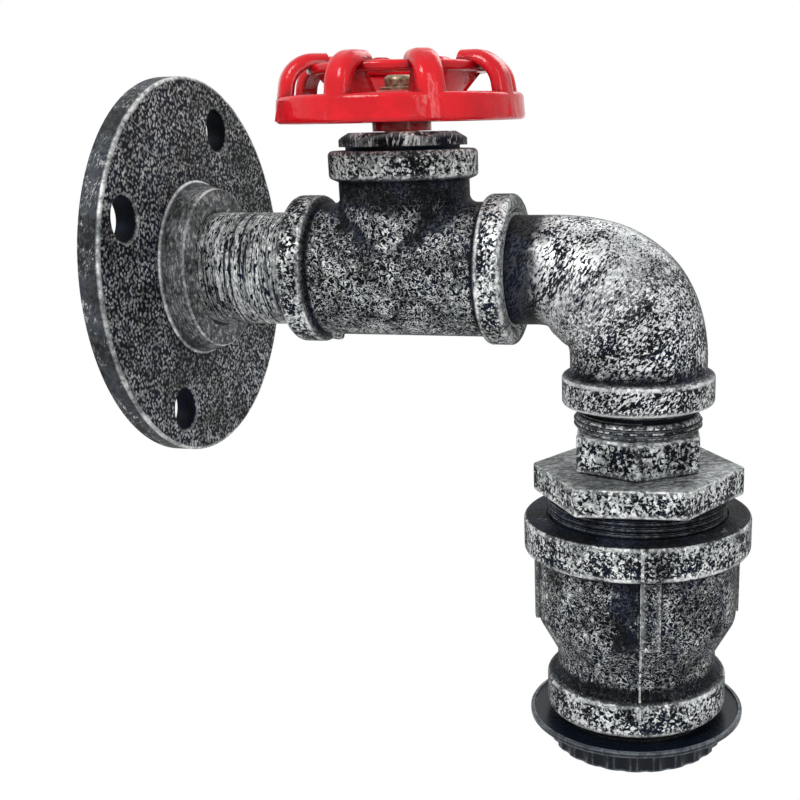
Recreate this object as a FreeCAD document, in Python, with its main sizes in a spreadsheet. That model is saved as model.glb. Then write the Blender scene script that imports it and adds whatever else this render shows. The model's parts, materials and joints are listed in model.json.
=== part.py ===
import FreeCAD
import Part
import Sketcher

import math
import os

# Wall light built from iron pipe fittings. +Z is up and the wall is the plane y = 0.
# The arm leaves the wall along -Y. The origin is the centre of the flange's back face.

SIZES = (
    # wall flange
    ("flange_diameter", 90.0, "disc that is screwed to the wall"),
    ("flange_thickness", 5.4, "disc"),
    ("flange_rim_round", 0.5, "rounding of the disc's rim"),
    ("hub_base_diameter", 41.0, "boss where it meets the disc"),
    ("hub_end_diameter", 38.0, "boss at its free end"),
    ("hub_height", 5.5, "boss in front of the disc"),
    ("hub_root_round", 0.6, "rounding between disc and boss"),
    ("wall_hole_inset", 9.5, "rim to the centre of a wall screw hole"),
    ("wall_hole_diameter", 10.0, "wall screw hole"),
    ("wall_hole_chamfer", 0.7, "edge of a wall screw hole"),
    ("wall_hole_turn", 66.2, "degrees from +X to the first wall screw hole"),
    # threads between fittings
    ("pipe_diameter", 26.7, "outside of the pipe nipple"),
    ("pipe_bore", 21.6, "inside of the pipe nipple"),
    ("pipe_thread", 26.4, "outside of a pipe thread"),
    ("thread_play", 0.12, "gap around a thread, on the radius"),
    ("thread_depth", 12.5, "how far a pipe thread goes into a fitting"),
    ("thread_relief", 1.2, "bore behind the end of a thread"),
    ("thread_bevel", 0.9, "bevel at the end of a thread"),
    ("seat_gap", 0.3, "gap between a shoulder and the fitting it is screwed up to"),
    ("mouth_bevel", 0.8, "bevel at the mouth of a threaded bore"),
    # tee
    ("nipple_show", 21.7, "pipe seen between boss and tee"),
    ("tee_length", 53.4, "tee along the arm"),
    ("tee_rise", 27.4, "arm axis to the top of the tee"),
    ("tee_body_diameter", 31.0, "run of the tee between its bands"),
    ("tee_branch_diameter", 30.4, "branch of the tee below its band"),
    ("tee_passage", 23.6, "cored passage inside the tee"),
    ("saddle_round", 2.2, "rounding where the tee's branch meets its run"),
    ("band_diameter", 34.6, "band at each mouth of the tee"),
    ("band_width", 6.0, "band"),
    ("band_round", 1.1, "rounding of a band's edge"),
    ("band_slope", 0.9, "slope behind a band"),
    # street elbow
    ("elbow_leg", 28.4, "tee's mouth to the axis of the lamp head"),
    ("elbow_drop", 30.4, "arm axis to the elbow's lower mouth"),
    ("elbow_neck_diameter", 25.0, "slim end of the elbow in front of the tee"),
    ("elbow_body_diameter", 31.8, "elbow above its band"),
    ("elbow_band_diameter", 35.6, "band at the elbow's lower mouth"),
    ("elbow_band_width", 6.8, "band"),
    ("elbow_throat", 6.4, "inside radius of the bend"),
    ("elbow_lead", 3.0, "straight stretch at each end of the bend"),
    ("elbow_passage", 21.0, "cored passage inside the elbow"),
    # hexagon nipple under the elbow
    ("collar_drop", 2.4, "elbow's mouth to the nipple's collar"),
    ("collar_diameter", 29.4, "rolled collar above the small hexagon"),
    ("collar_width", 3.6, "collar"),
    ("collar_groove", 0.3, "groove under the collar"),
    ("small_hexagon_flats", 28.4, "across flats"),
    ("small_hexagon_width", 8.6, "along the axis"),
    ("small_hexagon_turn", 8.5, "degrees from +X to a corner"),
    ("hexagon_nipple_bore", 19.0, "passage"),
    # hexagon bushing
    ("large_hexagon_flats", 43.6, "across flats"),
    ("large_hexagon_width", 6.7, "along the axis"),
    ("hexagon_corner_round", 1.2, "rounding of the cast hexagon's corners"),
    ("hexagon_edge_round", 0.5, "rounding of the cast hexagon's edges"),
    ("large_hexagon_turn", 34.9, "degrees from +X to a corner"),
    ("large_thread", 41.8, "outside of the bushing's thread"),
    ("large_thread_show", 4.8, "thread seen between hexagon and socket"),
    ("large_thread_depth", 12.5, "thread inside the socket"),
    # reducing socket
    ("socket_length", 49.4, "whole socket"),
    ("socket_collar_diameter", 54.4, "upper band"),
    ("socket_collar_width", 8.4, "upper band"),
    ("socket_body_diameter", 48.2, "body below the upper band"),
    ("socket_body_length", 17.5, "body down to its shoulder"),
    ("socket_shoulder", 8.6, "height of the rounded shoulder"),
    ("socket_waist_diameter", 38.8, "waist above the lower band"),
    ("socket_foot_diameter", 44.0, "lower band"),
    ("socket_foot_width", 8.4, "lower band"),
    ("socket_round", 1.2, "rounding of the socket's bands"),
    ("socket_swell", 4.5, "rounding of the shoulder"),
    ("socket_cavity", 40.4, "cored space inside the socket"),
    ("socket_cavity_end", 24.5, "lower end of the cored space above the socket's lower face"),
    ("socket_throat_end", 18.5, "upper end of the bore for the lampholder above that face"),
    ("rib_width", 4.4, "moulded grip rib"),
    ("rib_height", 0.8, "grip rib, proud of the body"),
    ("rib_turn", 16.0, "degrees from +X to a rib"),
    # lampholder
    ("holder_diameter", 32.6, "lampholder inside the socket"),
    ("holder_play", 0.3, "gap between lampholder and socket, on the radius"),
    ("barrel_diameter", 36.0, "threaded barrel below the socket"),
    ("barrel_length", 8.6, "threaded barrel"),
    ("sleeve_height", 24.0, "lampholder sleeve above the socket's lower face"),
    ("sleeve_bore", 28.6, "inside of the sleeve"),
    ("block_seat", 29.8, "counterbore that holds the contact block"),
    ("cap_height", 15.5, "lampholder cap up to its neck"),
    ("cap_side", 8.5, "straight side of the cap"),
    ("cap_wall", 2.0, "lampholder cap"),
    ("cap_neck_diameter", 17.0, "neck that the hanging tube screws into"),
    ("cap_neck_height", 4.5, "neck"),
    ("shell_bore", 27.0, "inside of the screw shell"),
    ("shell_wall", 0.5, "screw shell"),
    ("shell_length", 23.0, "screw shell"),
    ("shell_step", 0.8, "how much the shell narrows above the lamp's thread, on the radius"),
    ("shell_inset", 3.0, "screw shell's mouth above the barrel's mouth"),
    ("shell_lip", 4.0, "flange turned in at the top of the screw shell"),
    ("block_thickness", 6.0, "ceramic contact block"),
    ("block_play", 0.2, "gap around the contact block, on the radius"),
    # centre contact
    ("plunger_head", 6.8, "head that touches the lamp"),
    ("plunger_head_height", 1.6, "head"),
    ("plunger_reach", 3.8, "head below the contact block"),
    ("plunger_stem", 3.0, "stem that slides in the contact block"),
    ("plunger_play", 0.08, "running gap of the stem, on the radius"),
    ("plunger_end", 0.4, "stem past its clip"),
    ("spring_well", 3.5, "depth of the well for the spring"),
    ("spring_well_gap", 0.25, "gap round the head in its well, on the radius"),
    ("spring_wire", 0.45, "wire of the contact spring"),
    ("spring_turns", 5.0, "turns of the contact spring"),
    ("clip_diameter", 5.2, "clip on the stem"),
    ("clip_thickness", 0.6, "clip on the stem"),
    # terminals
    ("terminal_spacing", 16.0, "between the two terminals"),
    ("half_turn", 180.0, "degrees from the neutral to the live terminal"),
    ("terminal_width", 5.0, "terminal block"),
    ("terminal_depth", 7.0, "terminal block"),
    ("terminal_height", 7.5, "terminal block"),
    ("strap_thickness", 0.6, "strap under a terminal"),
    ("terminal_screw_diameter", 3.0, "terminal screw"),
    ("terminal_head_diameter", 5.0, "head of a terminal screw"),
    ("terminal_head_height", 1.6, "head of a terminal screw"),
    ("rivet_diameter", 2.2, "rivet through the lip of the shell"),
    ("rivet_head", 3.6, "rivet head"),
    ("rivet_head_height", 0.7, "rivet head"),
    ("rivet_spacing", 21.0, "between the two rivets"),
    ("strap_hole_gap", 0.15, "gap round the stem in the live strap"),
    # tube that holds the lampholder up
    ("tube_diameter", 10.0, "threaded tube"),
    ("tube_bore", 7.6, "threaded tube"),
    ("tube_nut_flats", 14.0, "nut on the threaded tube"),
    ("nut_play", 0.15, "gap around a nut's thread, on the radius"),
    ("tube_nut_height", 3.0, "nut above the hexagon nipple"),
    ("tube_locknut_height", 2.8, "nut against the lampholder cap"),
    ("tube_washer_diameter", 24.0, "washer on top of the hexagon nipple"),
    ("tube_washer_thickness", 1.5, "washer"),
    ("tube_end", 1.2, "tube past its nut"),
    ("tube_inset", 6.5, "tube inside the cap"),
    ("earth_tag_diameter", 15.0, "earth tag under the nut"),
    ("earth_tag_thickness", 0.8, "earth tag"),
    ("earth_tag_reach", 9.5, "tube axis to the wire on the tag"),
    ("earth_tag_width", 3.4, "tail of the tag"),
    ("earth_tag_turn", 57.5, "degrees from +X to the tail"),
    # wires
    ("wire_diameter", 2.4, "insulated wire"),
    ("wire_bend", 8.0, "bend radius of a wire in the elbow"),
    ("wire_turn_in", 2.5, "bend radius where a wire turns into its terminal"),
    ("wire_spread", 2.8, "between the live and the neutral wire"),
    ("wire_level", 3.0, "live and neutral wires below the arm axis"),
    ("earth_level", 1.0, "earth wire below the arm axis"),
    ("wire_inset", 2.0, "ends of the wires inside the flange"),
    ("wire_to_terminal", 5.1, "wire above the foot of its terminal"),
    # stem bushing
    ("plug_gap", 0.8, "thread seen between the plug's hexagon and the tee"),
    ("plug_flats", 26.0, "across flats"),
    ("plug_width", 3.1, "hexagon"),
    ("plug_turn", 39.4, "degrees from +X to a corner"),
    # stem
    ("stem_diameter", 8.0, "stem in its bushing"),
    ("stem_play", 0.08, "running gap, on the radius"),
    ("stem_square", 6.0, "square that carries the handwheel"),
    ("stem_thread_diameter", 6.0, "lower end of the stem"),
    ("stem_washer_diameter", 18.0, "washer under the bushing"),
    ("stem_washer_thickness", 1.2, "washer under the bushing"),
    ("stem_nut_flats", 10.0, "nut that keeps the stem in"),
    ("stem_nut_height", 5.0, "nut that keeps the stem in"),
    ("stem_end", 1.0, "stem past its nut"),
    ("turning_gap", 0.15, "gap between a turning face and a fixed face"),
    # handwheel
    ("wheel_lift", 2.0, "rim's lower edge above the wheel's neck"),
    ("wheel_diameter", 57.0, "outside of the rim"),
    ("wheel_rim_height", 5.9, "rim"),
    ("wheel_rim_wall", 2.6, "rim"),
    ("wheel_rim_draft", 0.5, "how much the rim narrows upwards"),
    ("wheel_round", 1.1, "rounding of the rim and ring"),
    ("arch_width", 6.4, "arch, along the rim"),
    ("arch_thickness", 3.2, "arch"),
    ("arch_round", 2.3, "rounding of an arch's outer corners"),
    ("arch_inner_round", 0.7, "rounding of an arch's inner corners"),
    ("arch_proud", 0.3, "arch stands out from the rim"),
    ("arch_foot", 0.6, "lower end of an arch above the rim edge"),
    ("arch_lean", 2.2, "how much an arch leans in as it rises"),
    ("arch_height", 14.9, "rim's lower edge to the top of an arch"),
    ("arch_bend", 6.4, "radius of an arch's shoulder"),
    ("arch_turn", 33.5, "degrees from +X to an arch"),
    ("ring_diameter", 37.2, "upper ring"),
    ("ring_width", 4.4, "upper ring, across"),
    ("ring_height", 2.3, "upper ring"),
    ("ring_top", 12.6, "top of the upper ring above the rim's lower edge"),
    ("web_thickness", 2.4, "cone between ring and hub, measured upwards"),
    ("web_knee", 9.6, "radius at which the cone flattens towards the hub"),
    ("web_bend", 3.0, "rounding of that knee"),
    ("web_window_near", 10.4, "window in the cone, nearest to the hub"),
    ("web_window_far", 19.2, "window in the cone, farthest from the hub"),
    ("web_window_narrow", 5.4, "width of the window near the hub"),
    ("web_window_wide", 11.4, "width of the window near the ring"),
    ("web_window_round", 1.8, "corners of the window"),
    ("neck_diameter", 13.6, "wheel's neck on the bushing"),
    ("wheel_hub_diameter", 16.6, "top of the wheel's hub"),
    ("wheel_hub_height", 6.8, "top of the hub above the rim's lower edge"),
    ("wheel_hub_flare", 2.4, "height of the flared top of the hub"),
    ("wheel_hub_web", 3.4, "thickness of the hub round the square"),
    ("square_play", 0.1, "gap round the square"),
    ("wheel_washer_diameter", 9.0, "washer on the hub"),
    ("wheel_washer_thickness", 0.8, "washer on the hub"),
    ("wheel_screw_diameter", 4.0, "screw in the stem"),
    ("wheel_screw_length", 7.0, "screw in the stem"),
    ("wheel_screw_head", 7.0, "head of that screw"),
    ("wheel_screw_head_height", 2.6, "head of that screw"),
    # shade ring
    ("shade_ring_diameter", 52.8, "rim of the shade ring"),
    ("shade_ring_play", 0.15, "gap around the barrel, on the radius"),
    ("shade_ring_drop", 2.4, "gap between the floor of the dish and the socket"),
    ("shade_ring_floor", 0.9, "floor of the dish"),
    ("shade_ring_rise", 0.5, "how much the floor rises to the lip"),
    ("shade_ring_lip", 1.1, "top of the lip above the middle of the floor"),
    ("shade_ring_lip_width", 0.9, "width of the lip"),
    ("shade_ring_edge", 1.3, "height of the rim's edge"),
    ("grip_diameter", 42.6, "fluted grip"),
    ("grip_height", 6.1, "fluted grip below the dish"),
    ("grip_round", 0.7, "rounding of the ring's edges"),
    ("flute_width", 6.0, "flute of the grip, across its circle"),
    ("flute_depth", 0.8, "flute of the grip"),
)

ARCH_COUNT = 8
WEB_WINDOW_COUNT = 4
FLUTE_COUNT = 24
RIB_COUNT = 4
WALL_HOLE_COUNT = 4
HEXAGON_COS = math.cos(math.radians(30))
FACE_CIRCLE = 0.95
FACE_BEYOND = 1.1
NIPPLE_SHARE = 0.75
BEND_SHARES = (0.0, 0.35, 0.85, 1.0, 1.0)
COLLAR_ROUND = 0.35
RING_ROUND = 0.4
HEAD_ROUND = 0.45
CROSS_SHARE = 0.3
CROSS_REACH = 0.6
ARCS_PER_TURN = 4


class Length:
    """A size that carries the sheet formula it is worked out from."""

    def __init__(self, value, formula):
        self.value = value
        self.formula = formula

    def joined(self, sign, other, value):
        return Length(value, f"({self.formula} {sign} {formula_of(other)})")

    def __add__(self, other):
        return self.joined("+", other, self.value + value_of(other))

    def __sub__(self, other):
        return self.joined("-", other, self.value - value_of(other))

    def __mul__(self, other):
        return self.joined("*", other, self.value * value_of(other))

    def __truediv__(self, other):
        return self.joined("/", other, self.value / value_of(other))

    def __neg__(self):
        return Length(-self.value, f"(0 - {self.formula})")

    def __lt__(self, other):
        return self.value < value_of(other)


def value_of(size):
    return size.value if isinstance(size, Length) else float(size)


def formula_of(size):
    return size.formula if isinstance(size, Length) else f"{float(size):.9f}"


class Sizes:
    """The sheet's sizes by name."""


S = Sizes()
for size_name, size_value, size_note in SIZES:
    setattr(S, size_name, Length(size_value, f"Sizes.{size_name}"))

ZERO = Length(0.0, "0")

doc = FreeCAD.newDocument("PipeWallLight")
sheet = doc.addObject("Spreadsheet::Sheet", "Sizes")
for row, (size_name, size_value, size_note) in enumerate(SIZES, start=1):
    sheet.set(f"A{row}", size_name)
    sheet.set(f"B{row}", str(size_value))
    sheet.set(f"C{row}", size_note)
    sheet.setAlias(f"B{row}", size_name)
doc.recompute()

pieces = []


# ---------------------------------------------------------------- tools for outlines


def bind(thing, prop, size):
    """Binds a property to a size of the sheet."""
    thing.setExpression(prop, formula_of(size))


def new_body(label, at=(0, 0, 0), turn=0):
    """A piece with its own label, placed at a point and turned about Z."""
    body = doc.addObject("PartDesign::Body", label)
    body.Label = label
    for axis, size in zip("xyz", at):
        bind(body, f"Placement.Base.{axis}", size)
    body.Placement.Rotation = FreeCAD.Rotation(FreeCAD.Vector(0, 0, 1), value_of(turn))
    if value_of(turn):
        bind(body, "Placement.Rotation.Angle", turn)
    pieces.append(body)
    return body


def origin_plane(body, role):
    return next(f for f in body.Origin.OriginFeatures if f.Role == role)


def new_sketch(body, role, lift=ZERO):
    """A sketch on an origin plane, lifted along the plane's normal."""
    sketch = body.newObject("Sketcher::SketchObject", f"{body.Label}_outline")
    sketch.AttachmentSupport = (origin_plane(body, role), [""])
    sketch.MapMode = "FlatFace"
    if value_of(lift):
        bind(sketch, "AttachmentOffset.Base.z", lift)
    return sketch


def pin_point(sketch, geometry, end, point):
    """Ties a point of the sketch to its two coordinates."""
    for kind, place in (("DistanceX", point[0]), ("DistanceY", point[1])):
        number = sketch.addConstraint(Sketcher.Constraint(kind, -1, 1, geometry, end, value_of(place)))
        if isinstance(place, Length):
            sketch.setExpression(f"Constraints[{number}]", place.formula)


def arc_or_point(corners, i, closed):
    """The two ends and the centre of a corner's rounding, or the corner itself."""
    here = corners[i]
    point = FreeCAD.Vector(value_of(here[0]), value_of(here[1]), 0)
    inside = closed or 0 < i < len(corners) - 1
    if len(here) == 2 or not inside:
        return point, point, None
    before, after = corners[i - 1], corners[(i + 1) % len(corners)]
    back = (FreeCAD.Vector(value_of(before[0]), value_of(before[1]), 0) - point).normalize()
    ahead = (FreeCAD.Vector(value_of(after[0]), value_of(after[1]), 0) - point).normalize()
    half = back.getAngle(ahead) / 2
    radius = value_of(here[2])
    reach = radius / math.tan(half)
    centre = point + (back + ahead).normalize() * (radius / math.sin(half))
    return point + back * reach, point + ahead * reach, centre


def draw_rounding(sketch, corner, ends, line_in, line_out):
    """An arc between two lines, held by its radius and by the corner that it rounds."""
    start, finish, centre = ends
    radius = value_of(corner[2])
    point = FreeCAD.Vector(value_of(corner[0]), value_of(corner[1]), 0)
    middle = centre + (point - centre).normalize() * radius
    curve = sketch.addGeometry(Part.Arc(start, middle, finish))
    starts_first = sketch.getPoint(curve, 1).isEqual(start, 1e-6)
    near_in, near_out = (1, 2) if starts_first else (2, 1)
    sketch.addConstraint(Sketcher.Constraint("Tangent", line_in, 2, curve, near_in))
    sketch.addConstraint(Sketcher.Constraint("Tangent", line_out, 1, curve, near_out))
    number = sketch.addConstraint(Sketcher.Constraint("Radius", curve, radius))
    bind(sketch, f"Constraints[{number}]", corner[2])
    mark = sketch.addGeometry(Part.Point(point), True)
    sketch.addConstraint(Sketcher.Constraint("PointOnObject", mark, 1, line_in))
    sketch.addConstraint(Sketcher.Constraint("PointOnObject", mark, 1, line_out))
    pin_point(sketch, mark, 1, corner)


def draw_outline(sketch, corners, closed=True):
    """Lines through corners (x, y), or (x, y, radius) where a corner is rounded."""
    count = len(corners)
    ends = [arc_or_point(corners, i, closed) for i in range(count)]
    lines = []
    for i in range(count if closed else count - 1):
        lines.append(sketch.addGeometry(Part.LineSegment(ends[i][1], ends[(i + 1) % count][0])))
    for i, corner in enumerate(corners):
        if not closed and i == 0:
            pin_point(sketch, lines[0], 1, corner)
        elif not closed and i == count - 1:
            pin_point(sketch, lines[-1], 2, corner)
        elif ends[i][2] is None:
            sketch.addConstraint(Sketcher.Constraint("Coincident", lines[i - 1], 2, lines[i], 1))
            pin_point(sketch, lines[i], 1, corner)
        else:
            draw_rounding(sketch, corner, ends[i], lines[i - 1], lines[i])


def draw_circle(sketch, centre, radius):
    """A circle held by its centre and radius."""
    middle = FreeCAD.Vector(value_of(centre[0]), value_of(centre[1]), 0)
    normal = FreeCAD.Vector(0, 0, 1)
    circle = sketch.addGeometry(Part.Circle(middle, normal, value_of(radius)))
    pin_point(sketch, circle, 3, centre)
    number = sketch.addConstraint(Sketcher.Constraint("Radius", circle, value_of(radius)))
    bind(sketch, f"Constraints[{number}]", radius)


def hexagon_corners(flats, corner=None):
    """Corners of a hexagon of this size across flats, the first on the X axis."""
    rest = () if corner is None else (corner,)
    reach = flats / (2 * HEXAGON_COS)
    angles = [math.radians(60 * k) for k in range(6)]
    return [(reach * math.cos(a), reach * math.sin(a), *rest) for a in angles]


def draw_block(long_x, long_y, corner=None, middle_x=ZERO, middle_y=ZERO):
    """Draws a rectangle about a middle point, rounded where a corner radius is given."""
    rest = () if corner is None else (corner,)
    signs = ((-1, -1), (1, -1), (1, 1), (-1, 1))
    corners = [(middle_x + long_x * x / 2, middle_y + long_y * y / 2, *rest) for x, y in signs]
    return lambda sketch: draw_outline(sketch, corners)


# ---------------------------------------------------------------- tools for features


def turned(body, corners, about="V_Axis", role="XZ_Plane", cut=False):
    """Turns an outline once round an axis of its own plane, to add or to cut."""
    sketch = new_sketch(body, role)
    draw_outline(sketch, corners)
    kind = "PartDesign::Groove" if cut else "PartDesign::Revolution"
    feature = body.newObject(kind, f"{body.Label}_turned")
    feature.Profile = sketch
    feature.ReferenceAxis = (sketch, [about])
    feature.Angle = 360
    doc.recompute()
    return feature


def raised(body, draw, height, lift=ZERO, down=False, cut=False, role="XY_Plane"):
    """Pads or cuts an outline, which draw puts in the sketch, up or down from a level."""
    sketch = new_sketch(body, role, lift)
    draw(sketch)
    kind = "PartDesign::Pocket" if cut else "PartDesign::Pad"
    feature = body.newObject(kind, f"{body.Label}_raised")
    feature.Profile = sketch
    bind(feature, "Length", height)
    feature.Reversed = down != cut
    doc.recompute()
    return feature


def swept(body, draw, role, lift, path, path_role="XZ_Plane", cut=False):
    """Carries an outline, which draw puts in a lifted sketch, along a path, to add or to cut."""
    profile = new_sketch(body, role, lift)
    draw(profile)
    spine = new_sketch(body, path_role)
    draw_outline(spine, path, closed=False)
    kind = "PartDesign::SubtractivePipe" if cut else "PartDesign::AdditivePipe"
    pipe = body.newObject(kind, f"{body.Label}_swept")
    pipe.Profile = profile
    pipe.Spine = spine
    doc.recompute()
    return pipe


def repeated(body, feature, count, role="Z_Axis"):
    """The same feature round the body's axis."""
    pattern = body.newObject("PartDesign::PolarPattern", f"{body.Label}_pattern")
    pattern.Originals = [feature]
    pattern.Axis = (origin_plane(body, role), [""])
    pattern.Angle = 360
    pattern.Occurrences = count
    body.Tip = pattern
    doc.recompute()
    return pattern


def edges_where(shape, test):
    return [f"Edge{n}" for n, edge in enumerate(shape.Edges, start=1) if test(edge)]


def rounded(body, base, names, radius):
    """Rounds the named edges of a feature."""
    fillet = body.newObject("PartDesign::Fillet", f"{body.Label}_rounded")
    fillet.Base = (base, names)
    bind(fillet, "Radius", radius)
    doc.recompute()
    return fillet


def disc_with_hole(label, at, outside, inside, thickness, edge=None):
    """A washer or collar that stands on its lower face."""
    body = new_body(label, at)
    bevel = edge if edge is not None else thickness * 0.2
    turned(
        body,
        [
            (inside / 2, ZERO),
            (outside / 2, ZERO),
            (outside / 2, thickness - bevel),
            (outside / 2 - bevel, thickness),
            (inside / 2, thickness),
        ],
    )
    return body


def nut(label, at, flats, bore, height, turn=0):
    """A hexagon nut, turned down at its corners above and below."""
    body = new_body(label, at, turn)
    raised(body, lambda sketch: draw_outline(sketch, hexagon_corners(flats)), height)
    cut_corners(body, flats, height)
    cut_corners(body, flats, height, below=True)
    bored(body, bore / 2, height, ZERO)
    return body


def cast_hexagon(body, flats, width, foot):
    """A hexagon as it comes from the mould, with soft corners and edges."""
    corners = hexagon_corners(flats, S.hexagon_corner_round)
    hexagon = raised(body, lambda sketch: draw_outline(sketch, corners), width, foot)
    rims = edges_where(hexagon.Shape, lambda edge: abs(edge.Vertexes[0].Z - edge.Vertexes[-1].Z) < 0.001)
    rounded(body, hexagon, rims, S.hexagon_edge_round)


def cut_corners(body, flats, level, below=False):
    """Turns down a hexagon's corners at 30 degrees above its upper or lower face."""
    inner = flats * FACE_CIRCLE / 2
    outer = flats / (2 * HEXAGON_COS) * FACE_BEYOND
    drop = (outer - inner) * math.tan(math.radians(30))
    slope_end = level + drop if below else level - drop
    beyond = level - drop if below else level + drop
    turned(body, [(inner, level), (outer, slope_end), (outer, beyond), (inner, beyond)], cut=True)


def bored(body, radius, top, foot, about="V_Axis", role="XZ_Plane"):
    """A round hole on the body's axis between two places."""
    corners = [(ZERO, foot), (radius, foot), (radius, top), (ZERO, top)]
    if about == "H_Axis":
        corners = [(along, out) for out, along in corners]
    return turned(body, corners, about, role, cut=True)


def threaded_mouth(body, mouth, inward, depth, about="V_Axis", role="XZ_Plane"):
    """The bore of a pipe thread from a fitting's mouth, bevelled at the mouth."""
    bevel = S.mouth_bevel
    corners = [
        (ZERO, mouth),
        (female_thread + bevel, mouth),
        (female_thread, mouth + bevel * inward),
        (female_thread, mouth + depth * inward),
        (ZERO, mouth + depth * inward),
    ]
    if about == "H_Axis":
        corners = [(along, out) for out, along in corners]
    return turned(body, corners, about, role, cut=True)


def thread_stub(body, radius, shoulder, end, upwards):
    """The outside of a thread from its shoulder to its bevelled end."""
    bevel = S.thread_bevel
    inner_end = end - bevel if upwards else end + bevel
    turned(
        body,
        [
            (ZERO, shoulder),
            (radius, shoulder),
            (radius, inner_end),
            (radius - bevel, end),
            (ZERO, end),
        ],
    )


# ---------------------------------------------------------------- places along the arm

hub_face = -(S.flange_thickness + S.hub_height)
tee_near = hub_face - S.nipple_show
tee_middle = tee_near - S.tee_length / 2
tee_far = tee_near - S.tee_length
head_axis = tee_far - S.elbow_leg
thread_radius = S.pipe_thread / 2
female_thread = thread_radius + S.thread_play
bore_depth = S.thread_depth + S.thread_relief

# ---------------------------------------------------------------- places down the lamp head

elbow_mouth = -S.elbow_drop
nipple_top = elbow_mouth + S.thread_depth
collar_top = elbow_mouth - S.collar_drop
small_hexagon_top = collar_top - S.collar_width - S.collar_groove
small_hexagon_foot = small_hexagon_top - S.small_hexagon_width
large_hexagon_top = small_hexagon_foot - S.seat_gap
large_hexagon_foot = large_hexagon_top - S.large_hexagon_width
socket_top = large_hexagon_foot - S.large_thread_show
socket_foot = socket_top - S.socket_length
bushing_foot = socket_top - S.large_thread_depth
barrel_foot = socket_foot - S.barrel_length
sleeve_top = socket_foot + S.sleeve_height
shell_foot = barrel_foot + S.shell_inset
block_foot = shell_foot + S.shell_length
block_top = block_foot + S.block_thickness
shell_thread_top = block_foot - S.plunger_reach - S.seat_gap
cap_shoulder = sleeve_top + S.cap_height
cap_neck_top = cap_shoulder + S.cap_neck_height
tube_washer_top = nipple_top + S.tube_washer_thickness
earth_tag_top = tube_washer_top + S.earth_tag_thickness
tube_nut_top = earth_tag_top + S.tube_nut_height
tube_top = tube_nut_top + S.tube_end
tube_foot = cap_neck_top - S.tube_inset
clip_foot = block_top + S.strap_thickness + S.turning_gap
clip_top = clip_foot + S.clip_thickness
dish_floor = socket_foot - S.shade_ring_drop
dish_foot = dish_floor - S.shade_ring_floor

# ---------------------------------------------------------------- places up the stem

plug_foot = S.tee_rise + S.plug_gap
plug_top = plug_foot + S.plug_width
plug_end = S.tee_rise - S.thread_depth
neck_foot = plug_top + S.turning_gap
rim_foot = neck_foot + S.wheel_lift
wheel_hub_top = rim_foot + S.wheel_hub_height
stem_shoulder = plug_end - S.turning_gap
stem_washer_foot = stem_shoulder - S.stem_washer_thickness
stem_nut_foot = stem_washer_foot - S.stem_nut_height

ON_HEAD = (0, head_axis, 0)
ON_STEM = (0, tee_middle, 0)


def make_wall_flange():
    """Cast disc with a bored boss, screwed to the wall through its holes."""
    body = new_body("wall_flange")
    rim = S.flange_diameter / 2
    front = -S.flange_thickness
    root = S.hub_root_round
    turned(
        body,
        [
            (ZERO, female_thread),
            (ZERO, rim, S.flange_rim_round),
            (front, rim, S.flange_rim_round),
            (front, S.hub_base_diameter / 2 + root / 4, root),
            (hub_face, S.hub_end_diameter / 2, S.flange_rim_round / 2),
            (hub_face, female_thread + S.mouth_bevel),
            (hub_face + S.mouth_bevel, female_thread),
        ],
        about="H_Axis",
        role="YZ_Plane",
    )
    turn = math.radians(S.wall_hole_turn.value)
    reach = rim - S.wall_hole_inset
    place = (reach * math.cos(turn), reach * math.sin(turn))
    radius = S.wall_hole_diameter / 2
    hole = raised(
        body, lambda sketch: draw_circle(sketch, place, radius), S.flange_thickness, cut=True, role="XZ_Plane"
    )
    pattern = repeated(body, hole, WALL_HOLE_COUNT, "Y_Axis")
    rims = edges_where(pattern.Shape, lambda edge: is_circle(edge, radius) and edge.CenterOfMass.y < -0.1)
    chamfer = body.newObject("PartDesign::Chamfer", "wall_flange_hole_edges")
    chamfer.Base = (pattern, rims)
    bind(chamfer, "Size", S.wall_hole_chamfer)
    doc.recompute()


def is_circle(edge, radius):
    same = edge.Curve.TypeId == "Part::GeomCircle"
    return same and abs(edge.Curve.Radius - value_of(radius)) < 1e-4


def make_wall_nipple():
    """Pipe with a thread at each end, between the boss and the tee."""
    body = new_body("wall_nipple")
    near = hub_face - S.seat_gap
    far = tee_near + S.seat_gap
    near_end = hub_face + S.thread_depth * NIPPLE_SHARE
    far_end = tee_near - S.thread_depth
    bevel = S.thread_bevel
    turned(
        body,
        [
            (near_end, S.pipe_bore / 2),
            (near_end, thread_radius - bevel),
            (near_end - bevel, thread_radius),
            (near, thread_radius),
            (near, S.pipe_diameter / 2, S.seat_gap),
            (far, S.pipe_diameter / 2, S.seat_gap),
            (far, thread_radius),
            (far_end + bevel, thread_radius),
            (far_end, thread_radius - bevel),
            (far_end, S.pipe_bore / 2),
        ],
        about="H_Axis",
        role="YZ_Plane",
    )


def band(inner, outer, width, towards, radius, edge, slope):
    """Outline of a raised band from its mouth inwards: mouth corner first."""
    behind = outer + width * towards
    return [(outer, radius, edge), (behind, radius, edge), (behind + slope * towards, inner)]


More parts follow.
